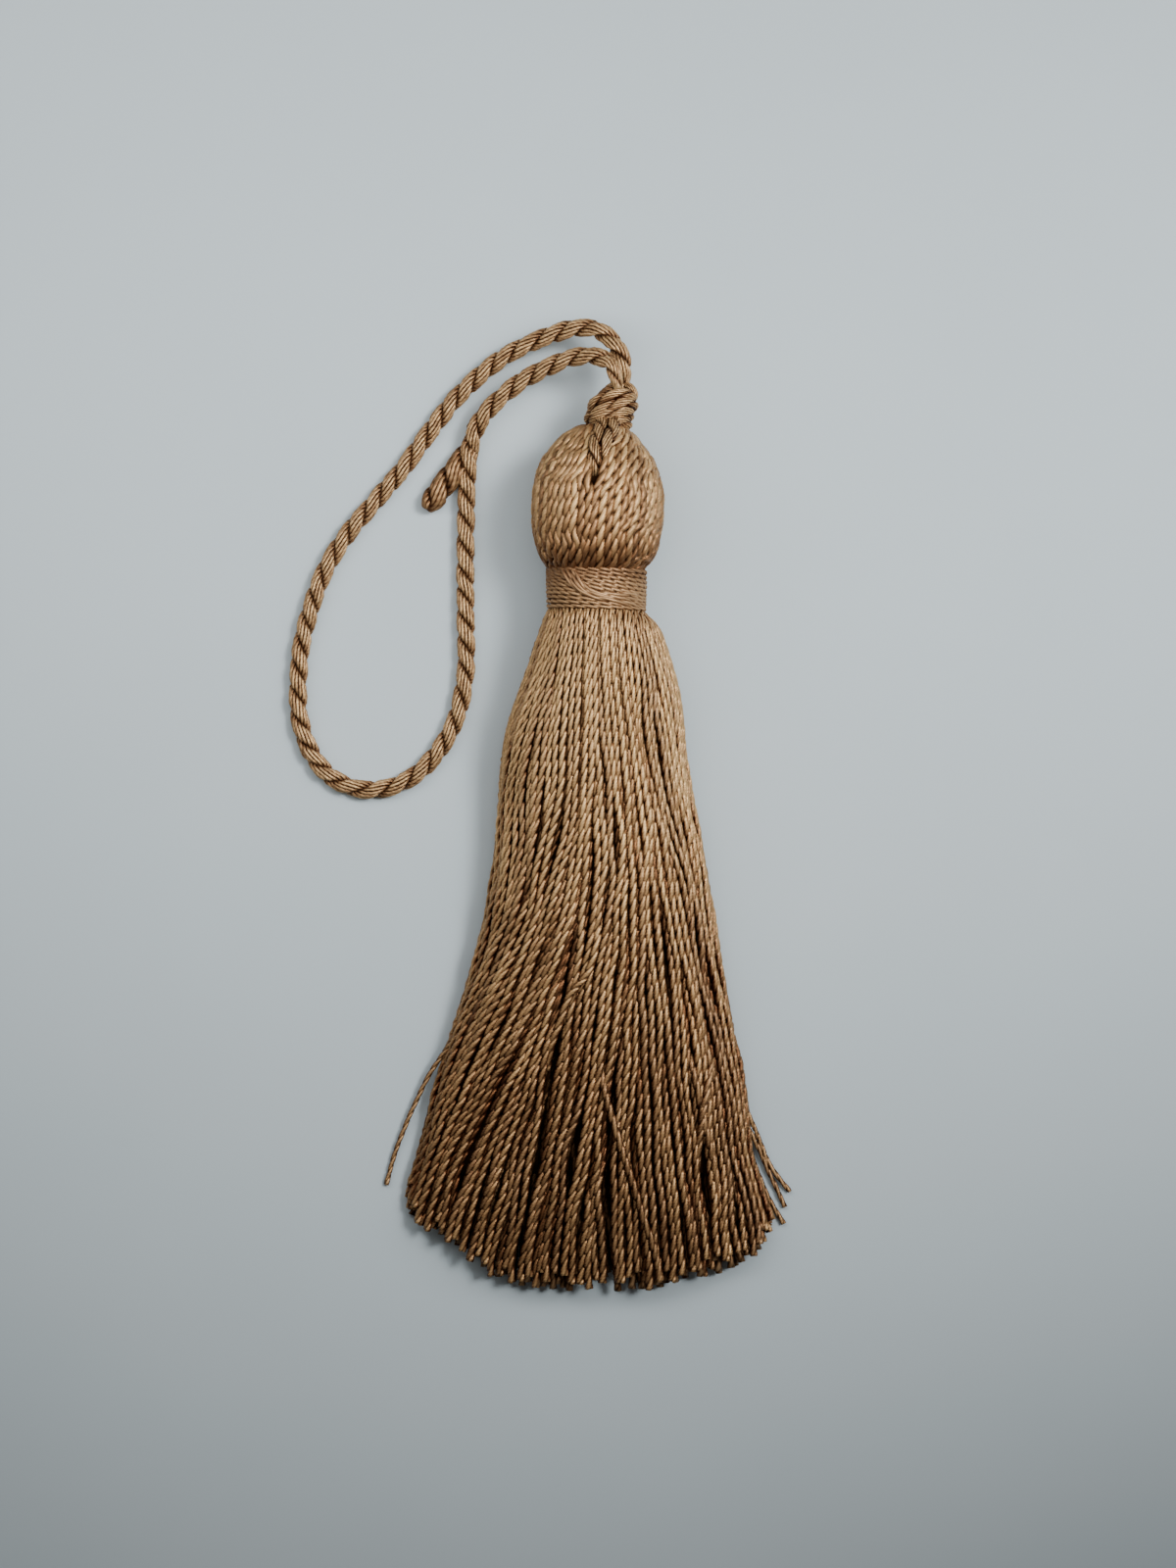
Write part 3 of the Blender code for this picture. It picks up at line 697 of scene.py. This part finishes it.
nextLayer = {"spacing": (0.75, 0.95, 1.0, 1.0), "depth": 1.2, "slits": 0.8, "light": (0.3, 0.7)}
underLayer = {"threads": 44, "depth": 0.29, "uneven": 0.12, "sway": (0.02, 22.0), "light": 0.85}
fillLayer = {
    "threads": 80, "top": -14.0, "lineStep": 0.8, "sway": (0.5, 24.0), "lift": (0.15, 17.0),
    "lowest": 0.35,
    "edges": 0.03,  # a share of the skirt's width
    "levels": (0.16, 0.78),  # and of its height
    "jitter": (-1.2, 0.9), "light": 0.5,
}
narrowFamilies = ("c2", "d1")  # one thread of each stays on top
golden = 0.6180339887
# Levels along the tassel, and what holds there.
widthAlong = ([4.0, 17.0, 24.5, 27.5, 40.0, 43.5], [1.0, 0.88, 0.66, 1.0, 1.0, 0.75])
# Painted shade along the tassel: threads darker towards the hem and at the foot of the head.
shadeAlong = ([-43, -25, 4, 20, 27, 29.5, 32, 35], [0.62, 0.61, 0.87, 0.93, 0.76, 0.45, 0.73, 0.96])
shadeFromAlong = ([-38.0, -18.0, 6.0, 20.0], [0.32, 0.25, 0.08, 0.03])
twistAlong = ([-35.0, -8.0, 12.0], [1.03, 1.0, 0.97])


def cutOff(line, share, rng, jitter=(-1, 1)):
    # The part of a line above the hem, at a share of the way across.
    end = np.interp(share, *np.array(hemLine).T) + rng.uniform(*jitter) * thread["endJitter"]
    below = np.nonzero(line[:, 1] < end)[0]
    if not len(below):
        return line
    index = max(below[0], 2)
    before, after = line[index - 1], line[index]
    share = (before[1] - end) / (before[1] - after[1])
    return np.vstack([line[:index], before + (after - before) * np.clip(share, 0.05, 1.0)])


def facingUp(points):
    return np.broadcast_to([0.0, 0.0, 1.0], points.shape)


def outwardFrom(points, across, height, half=1, rise=1):
    x, along, z = points.T
    return unit(np.stack([(x - across) / half ** 2, 0 * along, (z - height) / rise ** 2], 1))


def skirtOutward(points):
    left, right, low, side, top = readRows(skirtSections, points[:, 1])
    return outwardFrom(points, (left + right) / 2, side, (right - left) / 2, top - side)


def twisted(line, rng, step, width, shade, outwardOf=skirtOutward, twist=thread["twist"], phase=None,
            shadeFrom=None, cut=True):
    # A two-ply thread along a line, whose fourth column dims it. Given a phase, it turns in
    # step with its neighbours.
    points = evenLine(line[:, :3], step)
    along = points[:, 1]
    walked = lengthsAlong(points)
    uneven = thread["uneven"] if phase is None else thread["unevenInStep"]
    rate = tau / (twist * rng.uniform(1 - uneven, 1 + uneven)) * np.interp(along, *twistAlong)
    reach, wave = thread["turnWander"]
    slow = wander(rng, walked, reach * uneven, wave)
    start = rng.uniform(0, tau) if phase is None else phase
    opened = smoothStep((walked - walked[-1]) / thread["opened"] + 1) if cut else 0.0
    lit = shade * np.interp(along, *shadeAlong)
    if line.shape[1] > 3:
        lit = lit * np.interp(-along, -line[:, 1], line[:, 3])
    begin, length = thread["lightFrom"]
    lit = lit * (1 + smoothStep((begin - along) / length) * wander(rng, walked, *thread["lightWander"]))
    return {
        "points": points,
        "turn": start + np.cumsum(rate * np.gradient(walked)) + slow,
        "width": width * (1 + thread["openedWidth"] * opened) * np.interp(along, *widthAlong),
        "tone": rng.uniform(0.0, 1.0),
        "outward": outwardOf(points),
        "shadeFrom": np.interp(along, *shadeFromAlong) if shadeFrom is None else shadeFrom,
        "shade": lit + opened * thread["openedLight"] * (1 - lit),
    }


def clumped(rng, middles):
    # How far each thread is from the middle of its clump.
    pull = np.zeros_like(middles)
    first = 0
    while first < len(middles):
        size = rng.integers(2, 5)
        clump = middles[first:first + size]
        pull[first:first + size] = clump.mean(0) - clump
        first += size
    return pull


def spreadOrder(count):
    # An order of filling places side by side that leaves free ones well apart.
    order = np.argsort([(slot * golden + 0.5) % 1.0 for slot in range(count)])
    rank = np.empty(count)
    rank[order] = np.arange(count)
    return rank


def roomShared(capacity, keepOne=False):
    # How wide each thread's place is, and where its middle lies.
    rank = spreadOrder(int(math.ceil(capacity.max() - 0.25)))
    weight = np.clip(capacity[None] - rank[:, None], 0.1, 1.0)
    if keepOne:
        weight[rank == 0] = 1.0
    return weight, (np.cumsum(weight, 0) - weight / 2) / weight.sum(0)


def skirtArcs(along):
    # Turns over the skirt, and how far round from its left edge each lies.
    left, right, low, side, top = readRows(skirtSections, along)
    turns = np.linspace(0, math.pi, 181)
    across = (right - left)[:, None] / 2 * np.sin(turns)
    steps = np.hypot(across, (top - side)[:, None] * np.cos(turns))
    arcs = np.cumsum((steps[:, 1:] + steps[:, :-1]) / 2, 1) * turns[1]
    return turns, np.column_stack([np.zeros(len(along)), arcs])


def readEach(wanted, places, values):
    # Interpolates row by row.
    places, values = np.broadcast_arrays(places, values)
    return np.array([np.interp(*row) for row in zip(wanted, places, values)])


def guideArcs(along, turns, arcs):
    # How far round the guide threads lie, the outer two on the edges.
    left, right = readRows(skirtSections, along)[:2]
    names = list(guideThreads)
    levels = np.array(guideLevels)[::-1]
    reached = np.clip(along, levels[0] - 3, levels[-1])
    places = {}
    for name in names:
        across = easeThrough(levels, guideThreads[name][::-1], reached)
        share = np.clip((across - left) / (right - left), 0.0, 1.0)
        if name in (names[0], names[-1]):
            share = np.full(len(along), float(name == names[-1]))
        places[name] = readEach(np.arccos(1 - 2 * share), turns, arcs)
    for before, after in zip(names, names[1:]):
        places[after] = np.maximum(places[after], places[before] + thread["closest"])
    return places


def skirtLines(rng, layer):
    # Between two guide threads lie as many others as there is room for.
    along = np.arange(thread["top"], thread["foot"], -thread["lineStep"])
    spacing = np.interp(-along, [-level for level in spacingLevels], layer["spacing"])
    turns, arcs = skirtArcs(along)
    places = guideArcs(along, turns, arcs)
    slit = {name: np.zeros(len(along)) for name in places}
    taper = thread["slitTaper"]
    for name, start, end, width in partings:
        share = smoothStep((start - along) / taper) * smoothStep((along - end) / taper)
        slit[name] = np.maximum(slit[name], width * share * layer["slits"])
    looseTop, looseLength = thread["looseFrom"]
    loose = smoothStep((looseTop - along) / looseLength)
    lines = []
    for before, after in zip(list(places), list(places)[1:]):
        start = places[before] + slit[before] / 2
        room = np.maximum(places[after] - slit[after] / 2 - start, 0.05)
        weights, middles = roomShared(room / spacing, before in narrowFamilies)
        for weight, middle, pull in zip(weights, middles, clumped(rng, middles)):
            drawn = thread["clump"] * loose * (1 + wander(rng, along, *thread["clumpWander"]))
            arc = start + (middle + pull * drawn) * room
            arc = arc + wander(rng, along, *thread["sway"]) * (0.35 + loose)
            turn = readEach(arc, arcs, turns)
            depth = layer["depth"] + thread["sink"] * (1 - weight)
            depth = depth - wander(rng, along, *thread["lift"]) * (0.4 + 0.8 * loose)
            line = skirtPoint(along, turn, depth)
            hidden = 1 - smoothStep((weight - 0.15) / 0.75)
            light = 1 - 0.65 * hidden * smoothStep((looseTop - along) / 16.0)
            lines.append(cutOff(np.column_stack([line, light]), (1 - np.cos(turn[-1])) / 2, rng))
    return lines

crossingThreads = [  # each from where it comes up to where it dives
    [(1.1, -5.4, -0.9), (0.7, -8.5, 0.25), (-0.2, -11.6, 0.35), (-2.1, -14.1, 0.3), (-3, -16.6, 0.25),
     (-3.85, -18.8, 0.1), (-4.5, -21.5, -0.7)],
    [(1, -20.5, -0.9), (1.55, -23.9, 0.2), (2.4, -27, 0.3), (3.6, -30.9, 0.35), (4.5, -33.6, 0.3),
     (5.6, -37.3, 0.3), (6.4, -39.5, 0.25), (7.2, -43.2, 0.15)],
    [(13, -19.5, -0.8), (12.2, -22.3, 0.2), (11.5, -25.6, 0.4), (11.2, -28.6, 0.1), (11, -32, -0.6)],
    [(10.2, -19.4, -0.8), (10.6, -22, 0.1), (11.25, -25, 0.15), (11.8, -27.8, 0.25), (12.6, -31, 0.1),
     (13.3, -34.5, -0.5)],
]
strayThreads = [
    [(-12, -14.5, 3.2), (-13.4, -17.6, 2.2), (-15.3, -20.6, 1.4), (-16.3, -22.1, 1.1),
     (-17.1, -23.6, 0.9), (-17.8, -25.1, 0.75), (-18.5, -26.6, 0.65), (-19.1, -28.1, 0.55),
     (-19.7, -29.6, 0.5), (-20.2, -31.1, 0.4), (-20.6, -32.6, 0.35), (-20.9, -33.7, 0.3)],
    [(13.6, -19.5, 3.2), (14.9, -23.6, 1.9), (16.3, -26.6, 1.4), (17, -28.2, 1), (17.6, -29.7, 0.7),
     (18.2, -31.2, 0.6), (19.3, -32.9, 0.5), (20.5, -34.4, 0.3)],
    [(13.9, -21.5, 2.8), (15.2, -25.6, 1.7), (16.5, -28.4, 1.1), (17.5, -30.4, 0.7), (18.3, -32.3, 0.5),
     (19.2, -34.2, 0.4), (20, -36, 0.3)],
    [(14.2, -24, 2.2), (15.9, -28.6, 1.2), (17.2, -32.4, 0.7), (18.4, -35.2, 0.5), (19.9, -37.7, 0.3)],
]
laidDepth = 0.27  # from which the heights of the crossing threads count
strayWidth = 0.66
strayLight = 1.3


def laidOver(route):
    # A route across and along the skirt, lifted to its surface.
    across, along, lift = evenLine(route, 1.0).T
    left, right = readRows(skirtSections, along)[:2]
    turn = np.arccos(np.clip(1 - 2 * (across - left) / (right - left), -1, 1))
    return skirtPoint(along, turn, laidDepth - lift)


def underLines(rng):
    # Side by side on the table.
    along = np.arange(thread["top"], thread["foot"], -thread["lineStep"])
    lines = []
    for slot in range(underLayer["threads"]):
        turn = math.pi * (1 + (slot + 0.5) / underLayer["threads"])
        turn = turn + wander(rng, along, *underLayer["sway"])
        line = skirtPoint(along, turn, underLayer["depth"] + abs(rng.normal(0, underLayer["uneven"])))
        lines.append(cutOff(line, (1 - np.cos(turn[-1])) / 2, rng))
    return lines


def fillLines(rng):
    # Inside the skirt, to show in its gaps and at the hem.
    along = np.arange(fillLayer["top"], thread["foot"], -fillLayer["lineStep"])
    left, right, low, side, top = readRows(skirtSections, along)
    edges = fillLayer["edges"]
    lowest, highest = fillLayer["levels"]
    lines = []
    for slot in range(fillLayer["threads"]):
        share = edges + (1 - 2 * edges) * (slot + 0.5) / fillLayer["threads"]
        up = lowest + (highest - lowest) * ((slot * golden) % 1.0)
        across = left + (right - left) * share + wander(rng, along, *fillLayer["sway"])
        dome = math.sqrt(1 - (2 * share - 1) ** 2)
        height = up * (side + (top - side) * dome) + wander(rng, along, *fillLayer["lift"])
        line = np.stack([across, along, np.maximum(height, fillLayer["lowest"])], -1)
        lines.append(cutOff(line, share, rng, fillLayer["jitter"]))
    return lines


def threadPiece(name, strands, outline=twoPly, material=threadSilk):
    return strandPiece(name, strands, outline, material, "yarn_hank")


def makeSkirt():
    rng = np.random.default_rng(7)
    step, width = thread["step"], thread["width"]
    varied = (1 - thread["widthVaries"], 1 + thread["widthVaries"])
    strands = [
        twisted(line, rng, step, width * rng.uniform(*varied), 1.0, phase=thread["inStep"] * number)
        for number, line in enumerate(skirtLines(rng, topLayer))
    ]
    third = math.ceil(len(strands) / 3)
    for number, name in enumerate(("skirtLeft", "skirtMiddle", "skirtRight")):
        threadPiece(name, strands[number * third:(number + 1) * third])
    loose = [twisted(laidOver(route), rng, step, width, 1.0) for route in crossingThreads]
    for route in strayThreads:
        loose.append(twisted(np.array(route), rng, step, width * strayWidth, strayLight, facingUp))
    threadPiece("looseThreads", loose)
    step = thread["hiddenStep"]
    hidden = [
        twisted(line, rng, step, width, rng.uniform(*nextLayer["light"]))
        for line in skirtLines(rng, nextLayer)
    ]
    threadPiece("skirtNextLayer", hidden, flatThread, shadedSilk)
    step = thread["underStep"]
    lowest = [twisted(line, rng, step, width, underLayer["light"]) for line in underLines(rng)]
    threadPiece("skirtUnderside", lowest, flatThread)
    inner = [twisted(line, rng, step, width, fillLayer["light"]) for line in fillLines(rng)]
    threadPiece("skirtInner", inner, flatThread, shadedSilk)


innerBody = {
    "headLevels": (43.0, 29.2, -0.8), "headInset": 1.05, "skirtLevels": (28.5, -33.5, -1.6),
    "skirtInset": 1.9, "aboveTable": 0.5, "sides": 40,
}


def innerSections():
    # Place, half width and half height of each.
    for along in np.arange(*innerBody["headLevels"]):
        left, right = readRows(headSections, along)
        reach = (right - left) / 2 - innerBody["headInset"]
        yield along, (left + right) / 2, headSections["axisHeight"], reach, reach
    deep = innerBody["skirtInset"]
    for along in np.arange(*innerBody["skirtLevels"]):
        left, right, low, side, top = readRows(skirtSections, along)
        bottom = low + innerBody["aboveTable"]
        high = top - deep
        yield along, (left + right) / 2, (bottom + high) / 2, (right - left) / 2 - deep, (high - bottom) / 2


def makeInnerBody():
    # A dark body under the threads on top, its colour the painted shade inside the hank.
    rows = [[float(value) for value in row] for row in innerSections()]
    centres = [(across * mm, along * mm, height * mm) for along, across, height, _, _ in rows]
    bpy.ops.object.select_all(action="DESELECT")
    bpy.ops.mesh.primitive_circle_add(
        vertices=innerBody["sides"], radius=mm, fill_type="NGON",
        location=centres[0], rotation=(math.pi / 2, 0, 0),
    )
    body = bpy.context.object
    body.name = "shadedInnerThreads"
    bpy.ops.object.transform_apply(location=True, rotation=True, scale=True)
    bpy.ops.object.mode_set(mode="EDIT")
    bpy.ops.mesh.select_all(action="SELECT")
    size, place = (1, 1), centres[0]
    for row, centre in zip(rows, centres):
        if centre != place:
            shift = Vector(centre) - Vector(place)
            bpy.ops.mesh.extrude_region_move(TRANSFORM_OT_translate={"value": shift})
        bpy.ops.transform.resize(value=(row[3] / size[0], 1, row[4] / size[1]), center_override=centre)
        size, place = row[3:], centre
    bpy.ops.mesh.select_all(action="SELECT")
    bpy.ops.mesh.normals_make_consistent(inside=False)
    bpy.ops.object.mode_set(mode="OBJECT")
    bpy.ops.object.shade_smooth()
    body.data.materials.append(shadedCoreFinish("shadedThreads"))
    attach(body, "root")
    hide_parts("yarn_hank")


makeSkirt()
makeInnerBody()
print("the skirt is laid")

head = {
    "width": 1.03, "widthVaries": 0.03, "spacing": 0.77, "step": 0.27, "twist": 3.3,
    "inStep": 0.36 * math.pi, "shadeFrom": -0.3, "light": 0.87, "hiddenLight": 0.57,
    "depth": 0.34, "sink": 0.36, "sway": (0.6, 12.0), "lift": (0.05, 9.0), "top": 43.55, "foot": 28.6,
    "leastRound": 5.2,  # the least radius that has room for all
    "split": -4.0,  # degrees from the top to where the two families part
    "parting": 4.4,  # degrees that they draw apart below the cord
    "partingAlong": (39.0, 2.2), "partingWide": 45.0,
    "lobes": (40.6, 2.4),  # where each family rounds off to its own pole, and over what length
}
headFamilies = [  # where in degrees each begins, its pole, and its swing along the head
    (0.0, 2.5, [(28.5, -6), (29.9, -5), (34.6, -2), (38.0, 1), (40.6, 6), (42.6, 10), (43.7, 12)]),
    (180.0, 0.2, [(28.5, -5), (29.9, -4), (34.6, -1), (38.0, 1), (40.6, 4), (42.6, 7), (43.7, 8)]),
]


def headLines(rng):
    along = np.arange(head["foot"], head["top"], 0.25)
    left, right = readRows(headSections, along)
    radius = (right - left) / 2
    middleX = (left + right) / 2
    rightSwing, leftSwing = (easeThrough(*np.array(rows).T, along) for _, _, rows in headFamilies)
    partingAt, partingReach = head["partingAlong"]
    parted = head["parting"] * np.clip(1 - ((along - partingAt) / partingReach) ** 2, 0, 1)
    lobeStart, lobeReach = head["lobes"]
    rounding = smoothStep((along - lobeStart) / lobeReach)
    lines = []
    for first, pole, _ in headFamilies:
        edge, side = (left, -1) if first else (right, 1)
        _, middles = roomShared(math.pi * np.maximum(radius, head["leastRound"]) / head["spacing"])
        capacity = math.pi * radius / head["spacing"]
        crowded = smoothStep((capacity - spreadOrder(len(middles))[:, None]) / 5.0 + 0.8)
        for weight, middle in zip(crowded, middles):
            place = first + 180.0 * middle
            under = smoothStep((place - 100.0) / 80.0)
            swing = rightSwing * (1 - under) + leftSwing * under
            fromSplit = np.minimum(place, 360.0 - place)
            swing = swing + side * parted * smoothStep(1 - fromSplit / head["partingWide"])
            turn = np.radians(head["split"] + place + swing + wander(rng, along, *head["sway"]))
            depth = head["depth"] + head["sink"] * (1 - weight) - wander(rng, along, *head["lift"])
            line = headPoint(along, turn, depth)
            lobeX = middleX + (pole - middleX) * rounding
            inLobe = lobeX + (np.abs(edge - lobeX) - depth) * np.sin(turn)
            line[:, 0] = np.where(along > lobeStart, inLobe, line[:, 0])
            light = head["light"] + (head["hiddenLight"] - head["light"]) * (1 - weight)
            line = np.column_stack([line, light])
            x, y, z, lit = line[-1]
            height = headSections["axisHeight"]
            inward = [
                (x + (pole - x) * 0.4, y + 0.05, z + (height - z) * 0.4, lit),
                (x + (pole - x) * 0.8, y - 0.9, z + (height - z) * 0.75, lit),
            ]
            lines.append(np.vstack([line, inward]))
    return lines


def headOutward(points):
    left, right = readRows(headSections, points[:, 1])
    return outwardFrom(points, (left + right) / 2, headSections["axisHeight"])


def makeHead():
    rng = np.random.default_rng(19)
    varied = (1 - head["widthVaries"], 1 + head["widthVaries"])
    strands = [
        twisted(
            line, rng, head["step"], head["width"] * rng.uniform(*varied), 1.0, headOutward, head["twist"],
            head["inStep"] * number, head["shadeFrom"], cut=False,
        )
        for number, line in enumerate(headLines(rng))
    ]
    threadPiece("headThreads", strands)


makeHead()
print("the head is wound")

binding = {
    "middle": (0.65, 6.2),  # across, height
    "radius": 4.86, "turns": 11.3, "top": 29.2, "bottom": 24.95, "width": 0.60,
    "slant": 0.9,  # how far a wrap falls over the front
    "begins": 160.0,  # degrees from the top
    "twist": 2.4, "step": 0.22,
    "tuck": 0.9,  # how deep its ends go in
    "tuckTurn": 0.6, "shadeFrom": -0.1, "lift": (0.05, 9.0), "sway": (0.03, 7.0),
}
slantedLook = {"light": 0.85, "twist": 4.8}
slantedWraps = [  # over the others: across, along, height above them
    [(-3.1 + 0.55 * k, 29.4, -0.4), (-2.75 + 0.55 * k, 28.85, 0.1), (-2.05 + 0.5 * k, 27.9, 0.2),
     (-1.2 + 0.45 * k, 26.95 + 0.05 * k, 0.22), (0.2 + 0.35 * k, 26.3 + 0.15 * k, 0.2),
     (2.3 + 0.2 * k, 25.85 + 0.3 * k, 0.15), (4.3, 25.5 + 0.5 * k, 0.05), (5.1, 25.4 + 0.5 * k, -0.3)]
    for k in range(3)
]


def bindingOutward(points):
    return outwardFrom(points, *binding["middle"])


def bindingStrand(line, rng, light, twist):
    return twisted(
        line, rng, binding["step"], binding["width"], light, bindingOutward, twist,
        shadeFrom=binding["shadeFrom"], cut=False,
    )


def makeBinding():
    rng = np.random.default_rng(5)
    across, height = binding["middle"]
    angle = np.linspace(0, tau * binding["turns"], int(40 * binding["turns"]))
    share = angle / angle[-1]
    toEnd = np.minimum(angle, angle[-1] - angle) / binding["tuckTurn"]
    reach = binding["radius"] - binding["tuck"] * smoothStep(1 - toEnd)
    reach = reach + wander(rng, angle, *binding["lift"])
    along = binding["top"] + (binding["bottom"] - binding["top"]) * share
    along = along + wander(rng, angle, *binding["sway"])
    turn = angle + math.radians(binding["begins"])
    along = along - 2 * binding["slant"] * share * (1 - share) * np.sin(turn)
    line = np.stack([across + reach * np.sin(turn), along, height + reach * np.cos(turn)], -1)
    strands = [bindingStrand(line, rng, 1.0, binding["twist"])]
    for route in slantedWraps:
        x, y, lift = evenLine(route, 0.4).T
        reach = binding["radius"] + lift
        front = np.arcsin(np.clip((x - across) / reach, -1, 1))
        line = np.stack([x, y, height + reach * np.cos(front)], -1)
        strands.append(bindingStrand(line, rng, slantedLook["light"], slantedLook["twist"]))
    strandPiece("bindingThread", strands, twoPly, bindingSilk, "neck_binding")


makeBinding()
print("the neck is bound")

knotRoute = [  # four turns, each over the front to the right and back underneath
    (0.15, 45.5, 6.2), (0.5, 45.95, 7.3), (1.3, 46.4, 7.85), (2.3, 46.7, 8), (3.3, 46.8, 7.8),
    (3.95, 46.75, 7.2), (4.1, 46.5, 6.3), (3.3, 46, 5), (1.6, 45.3, 4.9), (0.35, 44.9, 5.4),
    (0.15, 44.9, 6.4), (0.6, 45.05, 7.3), (1.4, 45.3, 7.85), (2.5, 45.75, 7.9), (3.6, 46, 7.7),
    (4.25, 46, 7), (4.35, 45.75, 6.2), (3.3, 45.3, 5), (1.4, 44.7, 4.9), (0.1, 44.4, 5.5),
    (-0.05, 44.45, 6.4), (0.35, 44.55, 7.2), (1.2, 44.75, 7.75), (2.4, 44.95, 7.8), (3.3, 45.1, 7.5),
    (3.9, 45, 6.9), (4, 44.8, 6.1), (3.2, 44.4, 5), (1.5, 44, 4.9), (0.4, 43.7, 5.5), (0.2, 43.75, 6.4),
    (0.6, 43.85, 7.1), (1.4, 44, 7.6), (2.5, 44.15, 7.6), (3.4, 44.15, 7.2), (3.8, 44, 6.6),
    (3.5, 43.8, 5.8), (2.5, 43.7, 5.2),
]
knotBack = [  # what shows behind the turns
    [(1.3, 46.9, 5.7), (1.8, 47.35, 5.9), (2.4, 47.75, 5.9), (3, 48.1, 5.8)],
    [(3.6, 48.1, 5.8), (4.1, 47.5, 6), (4.4, 46.9, 6.1), (4.4, 46.2, 5.9)],
    [(0.4, 43.6, 5.4), (1.2, 43.65, 6.3), (2.2, 43.6, 6.3), (3.1, 43.6, 5.4)],
]
knotFill = [  # what fills it inside
    [(0.8, 46.2, 6.1), (1.7, 46.9, 6.5), (2.6, 47.2, 6.5), (3.5, 46.9, 6)],
    [(0.7, 45.3, 5.9), (1.5, 45.9, 6.3), (2.5, 46.2, 6.3), (3.6, 46, 6)],
    [(0.6, 44.3, 5.9), (1.5, 44.7, 6.2), (2.6, 44.9, 6.2), (3.4, 44.7, 6)],
]
legRoutes = [  # down from the knot into the crown
    [(2.4, 44.4, 7.1), (2.35, 43.6, 8.8), (2.25, 42.9, 9.9), (1.95, 42.2, 10.8), (1.6, 41.5, 11.4),
     (1.25, 40.7, 11.7), (0.95, 40, 11.5), (0.75, 39.2, 10.4), (0.7, 38.6, 9)],
    [(1.2, 44.4, 7), (1.15, 43.5, 8.6), (0.85, 42.6, 9.9), (0.5, 41.6, 11.1), (0.4, 40.6, 11.8),
     (0.5, 39.7, 12), (0.55, 38.9, 11.4), (0.6, 38.1, 9.6)],
]
knotTurns = {**cord, "diameter": 1.2, "plyTurn": 5.0, "yarnTurn": 3.0, "step": 0.21}
knotBehind = {**knotTurns, "diameter": 1.0, "plyTurn": 4.5, "start": 0.5, "ends": 0.8}
knotInside = {**knotTurns, "diameter": 1.4, "start": 0.5, "step": 0.3, "ends": 0.8}
leg = {**knotTurns, "diameter": 1.4, "step": 0.24, "start": 1.1}
fillingLight = 0.6
knotMiddle = np.array([2.1, 45.3, 5.4])
crownMiddle = np.array([1.2, 41.0, 6.0])


def makeKnot():
    rng = np.random.default_rng(23)
    strands = ropeStrands(knotRoute, rng, knotTurns, knotMiddle)
    for route in knotBack:
        strands += ropeStrands(route, rng, knotBehind)
    for route in knotFill:
        inside = ropeStrands(route, rng, knotInside)
        for strand in inside:
            strand["shade"] = fillingLight * strand["shade"]
        strands += inside
    cordPiece("cordKnot", strands, "cord_knot")
    strands = []
    for number, route in enumerate(legRoutes):
        strands += ropeStrands(route, rng, {**leg, "start": leg["start"] * number}, crownMiddle)
    cordPiece("cordLegs", strands, "cord_bight")


makeKnot()
print("the knot is tied")
